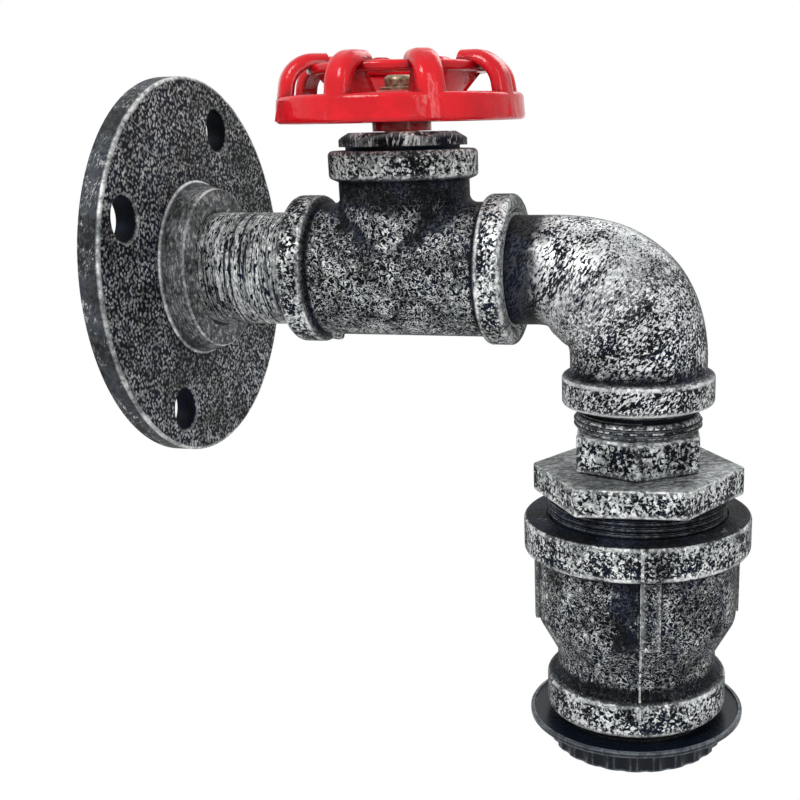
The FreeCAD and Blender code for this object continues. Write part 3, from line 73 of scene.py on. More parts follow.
def make_camera():
    """Camera at the photograph's station, with the shift that its framing needs."""
    data = bpy.data.cameras.new("camera")
    camera = bpy.data.objects.new("camera", data)
    bpy.context.collection.objects.link(camera)
    back = -CAMERA_LOOK.normalized()
    right = CAMERA_RIGHT.normalized()
    up = back.cross(right)
    turn = Matrix((right, up, back)).transposed()
    camera.matrix_world = Matrix.Translation(CAMERA_PLACE) @ turn.to_4x4()
    data.sensor_width = SENSOR_MM
    data.lens = FOCAL_PIXELS / FRAME_PIXELS * SENSOR_MM
    middle = FRAME_PIXELS / 2
    data.shift_x = (middle - PRINCIPAL_POINT[0]) / FRAME_PIXELS
    data.shift_y = (PRINCIPAL_POINT[1] - middle) / FRAME_PIXELS
    data.clip_start = CLIP_START
    data.clip_end = CLIP_END
    bpy.context.scene.camera = camera


# ---------------------------------------------------------------- places on the object

TEE_MIDDLE = -59.3 * MM
HEAD_AXIS = -114.4 * MM
HEAD = (0, HEAD_AXIS)
SOCKET_WAIST = -81.8 * MM
FRONT_RIB = 196.0  # degrees from +X
WALL_HOLE_CIRCLE = 35.5 * MM
WALL_HOLE_TURN = 66.2  # degrees from +X
WALL_HOLES = 4

# Borders in millimetres: a mask is 0 up to the first number and 1 from the second.
BORDERS = {
    "above_head": (-30, -29),
    "tee_run_band": (20.5, 20.8),
    "tee_branch_band": (21.2, 21.5),
    "behind_run_band": (18.9, 19.6),
    "under_branch_band": (12.0, 16.0),
    "saddle_rise": (2, 9),
    "socket_band": (16.1, 16.4),
    "socket_top_face": (-57.5, -57.3),
    "rib_side": (-2.6, -2.1),
    "elbow_lower_half": (66, 92),
    "elbow_band": (-23.3, -23.7),
    "elbow_by_tee": (-91.5, -86.5),
    "above_elbow_band": (-23.5, -28.0),
    "elbow_edge_break": (3, 5),
    "plug": (0, 1),
    "under_large_hexagon": (-52.0, -52.4),
    "under_bushing_thread": (-60, -61),
    "flange_rim": (44.4, 44.6),
    "flange_rim_front": (-4.3, -5.0),
    "boss": (-5.8, -6.1),
    "boss_foot_front": (-5.2, -5.4),
    "boss_end_front": (-10.2, -10.6),
    "wall_hole": (5.25, 5.05),
}

# Zones in millimetres: where, 1 within the second number of it, and 0 beyond the third.
ZONES = {
    "saddle": (-1.5, 1.6, 4.4),
    "beside_rib": (-5.4, 2.6, 4.2),
    "rib_height": (-74, 8, 11),
    "under_collar": (-66.0, 0.3, 0.8),
    "over_foot": (-96.6, 0.9, 2.6),
    "hexagon_top_face": (-45.6, 0.12, 0.2),
    "under_elbow": (-31.4, 1.3, 1.5),
    "under_plug": (27.7, 0.6, 0.7),
    "tee_run_inner_edge": (21.1, 0.15, 0.6),
    "tee_run_outer_edge": (26.3, 0.15, 0.6),
    "tee_branch_edge": (21.8, 0.15, 0.45),
    "socket_inner_edge": (16.8, 0.2, 0.7),
    "socket_outer_edge": (24.1, 0.2, 0.7),
    "elbow_upper_edge": (-24.1, 0.2, 0.6),
    "elbow_lower_edge": (-30.0, 0.1, 0.5),
    "large_hexagon_foot": (-51.9, 0.15, 0.5),
    "large_hexagon_top": (-45.9, 0.05, 0.35),
    "collar_foot": (-37.0, 0.2, 0.6),
    "flange_front_edge": (44.7, 0.25, 0.55),
    "boss_foot_edge": (20.8, 0.1, 0.45),
    "boss_end_edge": (19.0, 0.1, 0.4),
    "wall_hole_edge": (5.5, 0.1, 0.35),
}


# ---------------------------------------------------------------- patterns of the finishes

# Noises: scale, detail, roughness and distortion.
NOISES = {
    "worm_folds": (930.0, 2.2, 0.62, 0.7),
    "worm_patches": (140.0, 3.0, 0.6, 0.8),
    "pits": (1000.0, 2.5, 0.65, 0.6),
    "pit_patches": (170.0, 3.0, 0.6, 0.5),
    "fine_tones": (800.0, 3.0, 0.7, 0.3),
    "broad_tones": (100.0, 2.0, 0.5, 0.3),
    "casting_breaks": (240.0, 4.0, 0.65, 0.6),
    "elbow_breaks": (330.0, 4.0, 0.7, 0.6),
    "hexagon_strokes": (1100.0, 3.0, 0.65, 0.5),
    "hexagon_breaks": (300.0, 3.0, 0.6, 0.5),
    "thread_rub": (420.0, 3.0, 0.65, 0.4),
    "pipe_rings": (1500.0, 2.0, 0.6, 0.0),
    "flange_breaks": (170.0, 4.0, 0.65, 0.6),
    "rim_scratches": (700.0, 4.0, 0.7, 0.8),
    "boss_swirls": (1500.0, 4.0, 0.7, 0.5),
    "ring_marks": (700.0, 3.0, 0.6, 0.3),
    "enamel_runs": (160.0, 3.0, 0.5, 0.4),
    "enamel_peel": (620.0, 2.0, 0.5, 0.2),
    "plain_marks": (600.0, 3.0, 0.6, 0.2),
}
PEBBLE_SCALE = 1350.0

# Levels: the part of a noise or mask that counts, from none to full.
LEVELS = {
    "hollow": (0.06, 0.42),
    "ridge": (0.06, 0.24),
    "worm_silver": (0.30, 0.84),
    "pit_silver": (0.635, 0.725),
    "pit_height": (0.54, 0.74),
    "tone": (0.34, 0.66),
    "navy": (0.42, 0.62),
    # outline: painted shade where a surface turns away from the view.
    "outline": (0.62, 0.95),
    "casting_edge": (0.40, 0.58),
    "top_face_specks": (0.60, 0.72),
    "hexagon_strokes": (0.26, 0.62),
    "hexagon_edge": (0.36, 0.52),
    "thread_rub": (0.36, 0.64),
    "pipe_rings": (0.28, 0.62),
    "pebbles": (0.48, 0.80),
    "pebble_patches": (0.36, 0.62),
    "rim_scratches": (0.50, 0.66),
    "rim_patches": (0.45, 0.60),
    "boss_swirls": (0.46, 0.66),
    "flange_highlight_breaks": (0.35, 0.60),
    "ring_light": (0.35, 0.65),
    "enamel_runs": (0.3, 0.7),
    "plain_marks": (0.3, 0.7),
}

# Shares: what a mask gives where it is 0, and where it is 1.
SHARES = {
    "worm_cover": (0.36, 0.45),
    "raised_silver_and_highlight": (0.30, 1.0),
    "worn_roughness": (0.50, 0.46),
    "top_face_black": (0.97, 0.5),
    "thread_crest_highlight": (0.18, 0.75),
    "pebble_silver": (0.34, 0.74),
    "rim_silver": (0.07, 0.85),
    "boss_silver": (0.16, 0.72),
    "flange_edge_highlight": (0.45, 0.95),
    "ring_light": (0.35, 0.95),
    "ring_roughness": (0.20, 0.34),
    "enamel_roughness": (0.12, 0.26),
}

# How deep each finish looks, in millimetres.
RELIEFS = {
    "casting": 0.12,
    "elbow": 0.08,
    "mould_line": 0.06,
    "steel": 0.12,
    "thread": 0.02,
    "pipe": 0.07,
    "flange": 0.12,
    "ring": 0.015,
    "enamel": 0.10,
    "plain": 0.01,
    "aged_brass": 0.04,
}

# Patterns drawn out: the lengths along three axes, and how those axes lean, in radians.
STROKES = {
    "elbow": ((0.85, 0.85, 2.3), (0.5, 0.0, 0.0)),
    "elbow_fine": ((0.9, 0.9, 1.5), (0.8, 0.0, 0.0)),
    "plug": ((0.6, 0.6, 2.4), (0.15, 0.0, 0.0)),
    "hexagon_top": ((0.7, 3.0, 0.7), (0.0, 0.0, 0.5)),
    "pipe": ((2.6, 0.7, 2.6), (0.0, 0.0, 0.0)),
    "pipe_rings": ((30.0, 1.0, 30.0), (0.0, 0.0, 0.0)),
    "flange_rim": ((1.0, 0.35, 1.0), (0.3, 0.0, 0.2)),
    "boss": ((2.4, 0.5, 2.4), (0.0, 0.0, 0.0)),
}

WHITE = (1, 1, 1, 1)
BLACK_PAINT = (0.0034, 0.0040, 0.0052, 1)
NAVY_PAINT = (0.0052, 0.0085, 0.0200, 1)
BRIGHT_SILVER = (0.95, 0.98, 0.97, 1)
DULL_SILVER = (0.15, 0.17, 0.175, 1)
BRUSHED_SILVER = (0.93, 0.95, 0.95, 1)
BRUSHED_SHADE = (0.46, 0.48, 0.49, 1)
RING_BLACK = (0.0036, 0.0060, 0.0110, 1)
RING_NAVY = (0.0060, 0.0100, 0.0180, 1)
RING_LIGHT = (0.24, 0.27, 0.30, 1)
DEEP_RED = (0.62, 0.0030, 0.010, 1)
FULL_RED = (0.78, 0.0055, 0.014, 1)
# Dark red for the painted shade in the handwheel's hollows.
HOLLOW_SHADE_RED = (0.17, 0.0006, 0.003, 1)


# ---------------------------------------------------------------- node tools


class Graph:
    """Short calls for the nodes of one material or group."""

    def __init__(self, tree):
        self.tree = tree
        self.nodes = tree.nodes

    def add(self, kind, **settings):
        node = self.nodes.new(kind)
        for name, value in settings.items():
            setattr(node, name, value)
        return node

    def feed(self, socket, value):
        if isinstance(value, bpy.types.NodeSocket):
            self.tree.links.new(value, socket)
        elif value is not None:
            socket.default_value = value

    def feed_all(self, node, **values):
        for name, value in values.items():
            self.feed(node.inputs[name.replace("_", " ")], value)

    def maths(self, operation, first, second=None):
        node = self.add("ShaderNodeMath", operation=operation)
        self.feed(node.inputs[0], first)
        self.feed(node.inputs[1], second)
        return node.outputs[0]

    def plus(self, first, second):
        return self.maths("ADD", first, second)

    def minus(self, first, second):
        return self.maths("SUBTRACT", first, second)

    def times(self, first, second):
        return self.maths("MULTIPLY", first, second)

    def most(self, first, *others):
        """The largest of the values."""
        for other in others:
            first = self.maths("MAXIMUM", first, other)
        return first

    def without(self, value, mask):
        """The value where the mask is 0, and 0 where it is 1."""
        return self.times(value, self.minus(1.0, mask))

    def away(self, value, target):
        """How far the value is from the target."""
        return self.maths("ABSOLUTE", self.minus(value, target))

    def step(self, value, low, high):
        """Rises smoothly from 0 at low to 1 at high."""
        node = self.add("ShaderNodeMapRange", interpolation_type="SMOOTHSTEP")
        self.feed_all(node, Value=value, From_Min=low, From_Max=high)
        return node.outputs[0]

    def level(self, value, name):
        return self.step(value, *LEVELS[name])

    def share(self, mask, name):
        return self.blend(mask, *SHARES[name])

    def past(self, value, border):
        """1 past a named border, and 0 before it."""
        before, after = BORDERS[border]
        return self.step(value, before * MM, after * MM)

    def around(self, value, zone):
        """1 in a named zone, falling smoothly to 0 about it."""
        target, full, none = ZONES[zone]
        return self.step(self.away(value, target * MM), none * MM, full * MM)

    def blend(self, share, first, second):
        node = self.add("ShaderNodeMix", data_type="FLOAT")
        for place, value in ((0, share), (2, first), (3, second)):
            self.feed(node.inputs[place], value)
        return node.outputs[0]

    def tint(self, share, first, second):
        node = self.add("ShaderNodeMix", data_type="RGBA")
        for place, value in ((0, share), (6, first), (7, second)):
            self.feed(node.inputs[place], value)
        return node.outputs[2]

    def vector(self, operation, first, second):
        node = self.add("ShaderNodeVectorMath", operation=operation)
        self.feed(node.inputs[0], first)
        self.feed(node.inputs[1], second)
        return node.outputs["Vector"]

    def measure(self, operation, first, second=None):
        node = self.add("ShaderNodeVectorMath", operation=operation)
        self.feed(node.inputs[0], first)
        self.feed(node.inputs[1], second)
        return node.outputs["Value"]

    def noise(self, place, name, scale=None):
        """A noise from the table, at its own scale unless another is given."""
        own_scale, detail, roughness, distortion = NOISES[name]
        node = self.add("ShaderNodeTexNoise")
        self.feed_all(node, Vector=place, Scale=own_scale if scale is None else scale)
        self.feed_all(node, Detail=detail, Roughness=roughness, Distortion=distortion)
        return node.outputs["Fac"]

    def cells(self, place, scale):
        node = self.add("ShaderNodeTexVoronoi", feature="SMOOTH_F1")
        self.feed_all(node, Vector=place, Scale=scale)
        return node.outputs["Distance"]

    def drawn(self, place, name):
        """Coordinates in which a pattern comes out longer along the axes of a leaning frame."""
        length, lean = STROKES[name]
        node = self.add("ShaderNodeMapping", vector_type="TEXTURE")
        self.feed_all(node, Vector=place, Rotation=lean, Scale=length)
        return node.outputs[0]

    def bump(self, height, relief):
        node = self.add("ShaderNodeBump")
        self.feed_all(node, Height=height, Distance=RELIEFS[relief] * MM, Strength=1.0)
        return node.outputs[0]

    def use(self, group, **values):
        node = self.add("ShaderNodeGroup", node_tree=group)
        self.feed_all(node, **values)
        return node.outputs


def new_group(name, inputs, outputs):
    """A node group with float and vector inputs and float outputs, and its graph and ends."""
    tree = bpy.data.node_groups.new(name, "ShaderNodeTree")
    kinds = {"float": "NodeSocketFloat", "vector": "NodeSocketVector"}
    for label, kind, default in inputs:
        socket = tree.interface.new_socket(label, in_out="INPUT", socket_type=kinds[kind])
        if default is not None:
            socket.default_value = default
    for label in outputs:
        tree.interface.new_socket(label, in_out="OUTPUT", socket_type=kinds["float"])
    graph = Graph(tree)
    start = graph.add("NodeGroupInput").outputs
    end = graph.add("NodeGroupOutput").inputs
    return tree, graph, start, end


def new_material(name):
    """A material with a Principled BSDF, its graph, and its object coordinates."""
    material = bpy.data.materials.new(name)
    material.use_nodes = True
    material.node_tree.nodes.clear()
    graph = Graph(material.node_tree)
    surface = graph.add("ShaderNodeBsdfPrincipled")
    out = graph.add("ShaderNodeOutputMaterial")
    graph.feed(out.inputs["Surface"], surface.outputs[0])
    place = graph.add("ShaderNodeTexCoord").outputs["Object"]
    return material, graph, surface, place


def coordinate(graph, place, axis):
    node = graph.add("ShaderNodeSeparateXYZ")
    graph.feed(node.inputs[0], place)
    return node.outputs[axis]


# ---------------------------------------------------------------- shared effects

HOLLOW_REACH = 5 * MM
RIDGE_REACH = 1.4 * MM
SHADE_SAMPLES = 6
WORM_SHARPNESS = 11.0
WORM_PATCH_LIFT = 2.6
PIT_PATCH_LIFT = 0.7
PIT_COVER_LIFT = 0.4
BROAD_TONE_SHARE = 0.4


def hollows_group():
    """Where a casting's recesses and its raised edges are, from 0 to 1."""
    inputs = [("Reach", "float", HOLLOW_REACH), ("Edge", "float", RIDGE_REACH)]
    tree, graph, start, end = new_group("hollows", inputs, ["Hollow", "Ridge"])
    for reach, mask, level, inside in (
        ("Reach", "Hollow", "hollow", False),
        ("Edge", "Ridge", "ridge", True),
    ):
        shade = graph.add(
            "ShaderNodeAmbientOcclusion", samples=SHADE_SAMPLES, only_local=True, inside=inside
        )
        graph.feed_all(shade, Distance=start[reach])
        graph.feed(end[mask], graph.level(graph.minus(1.0, shade.outputs["AO"]), level))
    return tree


def silver_inputs(grain):
    return [
        ("Place", "vector", None),
        ("Grain", "float", grain),
        ("Cover", "float", 0.5),
        ("Patch", "float", 0.5),
    ]


def worms_group():
    """Silver caught on the ridges of a rough casting: a fine network of bright lines on black."""
    inputs = silver_inputs(NOISES["worm_folds"][0])
    tree, graph, start, end = new_group("silver_worms", inputs, ["Silver", "Height"])
    folds = graph.noise(start["Place"], "worm_folds", start["Grain"])
    lines = graph.minus(1.0, graph.times(graph.away(folds, 0.5), WORM_SHARPNESS))
    patches = graph.minus(graph.noise(start["Place"], "worm_patches"), 0.5)
    lift = graph.times(patches, graph.times(start["Patch"], WORM_PATCH_LIFT))
    level = graph.plus(graph.plus(lines, lift), graph.minus(start["Cover"], 0.5))
    graph.feed(end["Silver"], graph.level(level, "worm_silver"))
    graph.feed(end["Height"], graph.most(lines, 0.0))
    return tree


def pits_group():
    """Silver skin with black pits and scratches."""
    inputs = silver_inputs(NOISES["pits"][0])
    tree, graph, start, end = new_group("silver_pits", inputs, ["Silver", "Height"])
    pits = graph.noise(start["Place"], "pits", start["Grain"])
    patches = graph.minus(graph.noise(start["Place"], "pit_patches"), 0.5)
    lift = graph.times(patches, graph.times(start["Patch"], PIT_PATCH_LIFT))
    level = graph.plus(graph.plus(pits, lift), graph.times(start["Cover"], PIT_COVER_LIFT))
    graph.feed(end["Silver"], graph.level(level, "pit_silver"))
    graph.feed(end["Height"], graph.level(level, "pit_height"))
    return tree


def tones_group():
    """Changes of brightness over a worn surface, and of its dark paint from black to navy."""
    tree, graph, start, end = new_group("tones", [("Place", "vector", None)], ["Tone", "Navy"])
    fine = graph.noise(start["Place"], "fine_tones")
    broad = graph.noise(start["Place"], "broad_tones")
    graph.feed(end["Tone"], graph.level(graph.blend(BROAD_TONE_SHARE, fine, broad), "tone"))
    graph.feed(end["Navy"], graph.level(broad, "navy"))
    return tree


HOLLOWS = hollows_group()
WORMS = worms_group()
PITS = pits_group()
TONES = tones_group()

SILVER_METALLIC = 0.35
PAINT_SPECULAR = 0.05
# How much painted shade darkens the outline of the tee, socket and elbow.
FITTING_OUTLINE_SHADE = 0.6


def worn_paint(
    graph, surface, place, silver, height, relief, bright=BRIGHT_SILVER, dull=DULL_SILVER, outline=0.0
):
    """Lays black paint and silver on a surface, with less silver where it turns away from the view,
    as painted shade at its outline.
    """
    # Painted shade: silver fades where the surface turns away from the view.
    if outline:
        facing = graph.add("ShaderNodeLayerWeight").outputs["Facing"]
        silver = graph.without(silver, graph.times(graph.level(facing, "outline"), outline))
    tones = graph.use(TONES, Place=place)
    dark = graph.tint(tones["Navy"], BLACK_PAINT, NAVY_PAINT)
    pale = graph.tint(tones["Tone"], dull, bright)
    graph.feed_all(
        surface,
        Base_Color=graph.tint(silver, dark, pale),
        Metallic=graph.times(silver, SILVER_METALLIC),
        Roughness=graph.share(silver, "worn_roughness"),
        Normal=graph.bump(height, relief),
        Specular_IOR_Level=PAINT_SPECULAR,
    )


def silver_wear_and_light(graph, silver, parts, shade_and_bare=None):
    """Takes silver out of hollows and out of black places, partly as painted shade and partly as
    black paint without silver, and adds it on raised edges, partly as rubbed silver and partly as a
    painted highlight.
    """
    # Partly painted shade: no silver in the hollows.
    worn = graph.without(silver, parts["Hollow"])
    if shade_and_bare is not None:
        worn = graph.without(worn, shade_and_bare)
    # Partly painted highlight, partly rubbed silver: silver on raised edges.
    edges = graph.times(parts["Ridge"], graph.share(silver, "raised_silver_and_highlight"))
    return graph.most(worn, edges)


# ---------------------------------------------------------------- castings

CASTING_RAGGED = 14 * MM
FOOT_RAGGED_SHARE = 0.3
ELBOW_RAGGED = 9 * MM
ELBOW_SLANT = -0.7
CASTING_SHADE_AND_BARE = 0.88
ELBOW_SHADE_AND_BARE = 0.95


def tee_zones(graph, along, up, ragged):
    """The tee's bands, its black places in the saddle and behind and under its bands, partly painted
    shade and partly black paint without silver, and the bright edges of its bands, partly rubbed
    silver and partly a painted highlight.
    """
    from_middle = graph.away(along, TEE_MIDDLE)
    band = graph.most(graph.past(from_middle, "tee_run_band"), graph.past(up, "tee_branch_band"))
    valley = graph.plus(graph.minus(from_middle, up), ragged)
    shade_and_bare = graph.most(
        graph.times(graph.around(valley, "saddle"), graph.past(up, "saddle_rise")),
        graph.past(graph.plus(up, ragged), "under_branch_band"),
        graph.past(from_middle, "behind_run_band"),
    )
    edges = graph.most(
        graph.around(from_middle, "tee_run_inner_edge"),
        graph.around(from_middle, "tee_run_outer_edge"),
        graph.around(up, "tee_branch_edge"),
    )
    return band, shade_and_bare, edges


def socket_zones(graph, place, up, ragged):
    """The socket's bands, its black places beside the rib, under the collar and over the foot, partly
    painted shade and partly black paint without silver, and the bright edges of its bands, partly
    rubbed silver and partly a painted highlight.
    """
    from_waist = graph.away(up, SOCKET_WAIST)
    band = graph.past(from_waist, "socket_band")
    turn = math.radians(FRONT_RIB)
    outward = (math.cos(turn), math.sin(turn), 0)
    sideways = (-math.sin(turn), math.cos(turn), 0)
    from_axis = graph.vector("SUBTRACT", place, (*HEAD, 0))
    half = graph.maths("SIGN", graph.measure("DOT_PRODUCT", from_axis, outward))
    side = graph.times(graph.measure("DOT_PRODUCT", from_axis, sideways), half)
    beside_rib = graph.around(graph.plus(side, ragged), "beside_rib")
    beside_rib = graph.without(beside_rib, graph.past(side, "rib_side"))
    beside_rib = graph.times(beside_rib, graph.around(graph.plus(up, ragged), "rib_height"))
    foot = graph.plus(up, graph.times(ragged, FOOT_RAGGED_SHARE))
    shade_and_bare = graph.most(beside_rib, graph.around(foot, "over_foot"), graph.around(up, "under_collar"))
    edges = graph.most(
        graph.around(from_waist, "socket_inner_edge"), graph.around(from_waist, "socket_outer_edge")
    )
    return band, shade_and_bare, edges


def cast_fitting():
    """Tee and socket: black casting with a dense silver network, pitted silver on the bands."""
    material, graph, surface, place = new_material("cast_fitting")
    parts = graph.use(HOLLOWS)
    along = coordinate(graph, place, "Y")
    up = coordinate(graph, place, "Z")
    on_tee = graph.past(up, "above_head")
    worms = graph.use(WORMS, Place=place, Cover=graph.share(on_tee, "worm_cover"))
    pits = graph.use(PITS, Place=place, Grain=1300.0, Cover=0.40, Patch=0.6)
    breaks = graph.noise(place, "casting_breaks")
    ragged = graph.times(graph.minus(breaks, 0.5), CASTING_RAGGED)

    on_socket = socket_zones(graph, place, up, ragged)
    on_arm = tee_zones(graph, along, up, ragged)
    band, shade_and_bare, edges = (graph.blend(on_tee, low, high) for low, high in zip(on_socket, on_arm))

    silver = graph.blend(band, worms["Silver"], pits["Silver"])
    # Painted shade in creases and under and behind bands, with black paint without silver.
    shade_and_bare = graph.times(graph.without(shade_and_bare, band), CASTING_SHADE_AND_BARE)
    silver = silver_wear_and_light(graph, silver, parts, shade_and_bare)
    # Bright lines on the band edges: partly rubbed silver, partly painted highlight.
    silver = graph.most(silver, graph.times(edges, graph.level(breaks, "casting_edge")))
    top_face = graph.without(graph.past(up, "socket_top_face"), on_tee)
    black = graph.share(graph.level(breaks, "top_face_specks"), "top_face_black")
    silver = graph.without(silver, graph.times(top_face, black))
    height = graph.blend(band, worms["Height"], pits["Height"])
    worn_paint(graph, surface, place, silver, height, "casting", outline=FITTING_OUTLINE_SHADE)
    return material


def brushed_fitting():
    """Elbow: bright brushed silver with black pits drawn out on the slant."""
    material, graph, surface, place = new_material("brushed_fitting")
    parts = graph.use(HOLLOWS)
    along = coordinate(graph, place, "Y")
    up = coordinate(graph, place, "Z")
    strokes = graph.drawn(place, "elbow")
    fine_strokes = graph.drawn(place, "elbow_fine")
    pits = graph.use(PITS, Place=strokes, Grain=1700.0, Cover=0.50, Patch=0.7)
    fine = graph.use(PITS, Place=fine_strokes, Grain=1650.0, Cover=0.37, Patch=0.5)
    lower = graph.past(graph.minus(graph.times(along, ELBOW_SLANT), up), "elbow_lower_half")
    band = graph.past(up, "elbow_band")
    silver = graph.blend(graph.most(lower, band), pits["Silver"], fine["Silver"])
    ragged = graph.times(graph.noise(place, "elbow_breaks"), ELBOW_RAGGED)
    by_tee = graph.past(graph.plus(along, ragged), "elbow_by_tee")
    above_band = graph.without(graph.past(graph.minus(up, ragged), "above_elbow_band"), band)
    # Painted shade by the tee and above the band, with black paint without silver.
    shade_and_bare = graph.times(graph.most(by_tee, above_band), ELBOW_SHADE_AND_BARE)
    silver = silver_wear_and_light(graph, silver, parts, shade_and_bare)
    # Bright lines on the band edges: partly rubbed silver, partly painted highlight.
    upper_edge = graph.around(up, "elbow_upper_edge")
    upper_edge = graph.times(upper_edge, graph.past(ragged, "elbow_edge_break"))
    silver = graph.most(silver, upper_edge, graph.around(up, "elbow_lower_edge"))
    worn_paint(
        graph,
        surface,
        place,
        silver,
        pits["Height"],
        "elbow",
        BRUSHED_SILVER,
        BRUSHED_SHADE,
        outline=FITTING_OUTLINE_SHADE,
    )
    return material


def mould_silver():
    """Mould lines: silver rubbed off a raised line, with black breaks."""
    material, graph, surface, place = new_material("mould_silver")
    pits = graph.use(PITS, Place=place, Grain=700.0, Cover=0.62, Patch=0.5)
    worn_paint(graph, surface, place, pits["Silver"], pits["Height"], "mould_line")
    return material


# ---------------------------------------------------------------- turned and threaded steel

HEXAGON_TOP_SILVER = 0.62
UNDER_HEXAGON_SHADE = 0.96
STEEL_SHADE_AND_BARE = 0.9
THREAD_RIDGE_REACH = 0.16 * MM
PIPE_RING_WEIGHT = 2.0


def worn_steel():
    """Hexagons and plug: pitted worn silver, a brushed top, bright edges that are partly rubbed
    silver and partly a painted highlight, and painted shade under the large hexagon, the elbow and
    the plug.
    """
    material, graph, surface, place = new_material("worn_steel")
    parts = graph.use(HOLLOWS)
    up = coordinate(graph, place, "Z")
    pits = graph.use(PITS, Place=place, Grain=1100.0, Cover=0.41, Patch=0.6)
    plug_strokes = graph.drawn(place, "plug")
    streaks = graph.use(PITS, Place=plug_strokes, Grain=1000.0, Cover=0.27, Patch=0.8)
    strokes = graph.noise(graph.drawn(place, "hexagon_top"), "hexagon_strokes")
    top_silver = graph.times(graph.level(strokes, "hexagon_strokes"), HEXAGON_TOP_SILVER)
    silver = graph.blend(graph.past(up, "plug"), pits["Silver"], streaks["Silver"])
    silver = graph.blend(graph.around(up, "hexagon_top_face"), silver, top_silver)

    # Painted shade under the large hexagon, the elbow and the plug.
    under_hexagon = graph.times(graph.past(up, "under_large_hexagon"), UNDER_HEXAGON_SHADE)
    under_hexagon = graph.without(under_hexagon, graph.past(up, "under_bushing_thread"))
    shade_and_bare = graph.most(
        under_hexagon, graph.around(up, "under_elbow"), graph.around(up, "under_plug")
    )
    silver = silver_wear_and_light(graph, silver, parts, shade_and_bare)
    # Bright lines on the hexagon and collar edges: partly rubbed silver, partly painted highlight.
    edges = graph.most(
        graph.around(up, "large_hexagon_foot"),
        graph.around(up, "large_hexagon_top"),
        graph.around(up, "collar_foot"),
    )
    broken = graph.level(graph.noise(place, "hexagon_breaks"), "hexagon_edge")
    silver = graph.most(silver, graph.times(edges, broken))
    silver = graph.without(silver, graph.times(shade_and_bare, STEEL_SHADE_AND_BARE))
    worn_paint(graph, surface, place, silver, pits["Height"], "steel")
    return material


def thread_steel():
    """Threads: black flanks and bright crests, a painted highlight on each crest broken up by
    rubbing.
    """
    material, graph, surface, place = new_material("thread_steel")
    parts = graph.use(HOLLOWS, Edge=THREAD_RIDGE_REACH)
    rubbed = graph.level(graph.noise(place, "thread_rub"), "thread_rub")
    # Painted highlight on the crests, broken up by the rub noise.
    silver = graph.times(parts["Ridge"], graph.share(rubbed, "thread_crest_highlight"))
    worn_paint(graph, surface, place, silver, rubbed, "thread")
    return material


def pipe_nipple():
    """Pipe between flange and tee: turned rings in grey silver."""
    material, graph, surface, place = new_material("pipe_nipple")
    parts = graph.use(HOLLOWS)
    turned = graph.drawn(place, "pipe")
    worms = graph.use(WORMS, Place=turned, Grain=1000.0, Cover=0.98, Patch=0.6)
    rings = graph.noise(graph.drawn(place, "pipe_rings"), "pipe_rings")
    silver = graph.times(worms["Silver"], graph.level(rings, "pipe_rings"))
    silver = silver_wear_and_light(graph, silver, parts)
    height = graph.plus(worms["Height"], graph.times(rings, PIPE_RING_WEIGHT))
    worn_paint(graph, surface, place, silver, height, "pipe")
    return material


# ---------------------------------------------------------------- wall flange

WALL_HOLE_LIGHT = 0.4


def wall_hole_zones(graph, flat):
    """The inside of the wall screw holes, and the light on their edges."""
    inside = []
    edges = []
    for corner in range(WALL_HOLES):
        turn = math.radians(WALL_HOLE_TURN + 360 / WALL_HOLES * corner)
        middle = (WALL_HOLE_CIRCLE * math.cos(turn), 0, WALL_HOLE_CIRCLE * math.sin(turn))
        away = graph.measure("DISTANCE", flat, middle)
        inside.append(graph.past(away, "wall_hole"))
        edges.append(graph.times(graph.around(away, "wall_hole_edge"), WALL_HOLE_LIGHT))
    return graph.most(*inside), graph.most(*edges)


def cast_flange():
    """Wall flange: pale pebbles on black, a scratched dark rim, a turned boss, and painted highlights
    on its edges.
    """
    material, graph, surface, place = new_material("cast_flange")
    parts = graph.use(HOLLOWS)
    along = coordinate(graph, place, "Y")
    flat = graph.vector("MULTIPLY", place, (1, 0, 1))
    radius = graph.measure("LENGTH", flat)

    pebble = graph.minus(1.0, graph.cells(place, PEBBLE_SCALE))
    breaks = graph.noise(place, "flange_breaks")
    fade = graph.share(graph.level(breaks, "pebble_patches"), "pebble_silver")
    stones = graph.times(graph.level(pebble, "pebbles"), fade)
    scratches = graph.noise(graph.drawn(place, "flange_rim"), "rim_scratches")
    scratched = graph.times(
        graph.level(scratches, "rim_scratches"), graph.level(breaks, "rim_patches")
    )
    rim_silver = graph.share(scratched, "rim_silver")
    swirls = graph.noise(graph.drawn(place, "boss"), "boss_swirls")
    boss_silver = graph.share(graph.level(swirls, "boss_swirls"), "boss_silver")

    on_rim = graph.past(radius, "flange_rim")
    on_boss = graph.past(along, "boss")
    silver = graph.blend(on_boss, graph.blend(on_rim, stones, rim_silver), boss_silver)
    height = graph.blend(on_boss, graph.blend(on_rim, pebble, scratches), swirls)

    in_hole, hole_edges = wall_hole_zones(graph, flat)
    # Painted highlights along the turned edges and round the holes, broken up by a noise.
    turned_edges = [
        graph.times(graph.around(radius, edge), graph.past(along, front))
        for edge, front in (
            ("flange_front_edge", "flange_rim_front"),
            ("boss_foot_edge", "boss_foot_front"),
            ("boss_end_edge", "boss_end_front"),
        )
    ]
    edge_highlight_breaks = graph.share(graph.level(breaks, "flange_highlight_breaks"), "flange_edge_highlight")
    edges = graph.times(graph.most(hole_edges, *turned_edges), edge_highlight_breaks)
    # Partly painted shade: no silver in the flange's hollows.
    silver = graph.without(graph.without(silver, parts["Hollow"]), in_hole)
    worn_paint(graph, surface, place, graph.most(silver, edges), height, "flange")
    return material


# ---------------------------------------------------------------- shade ring, wheel, small parts

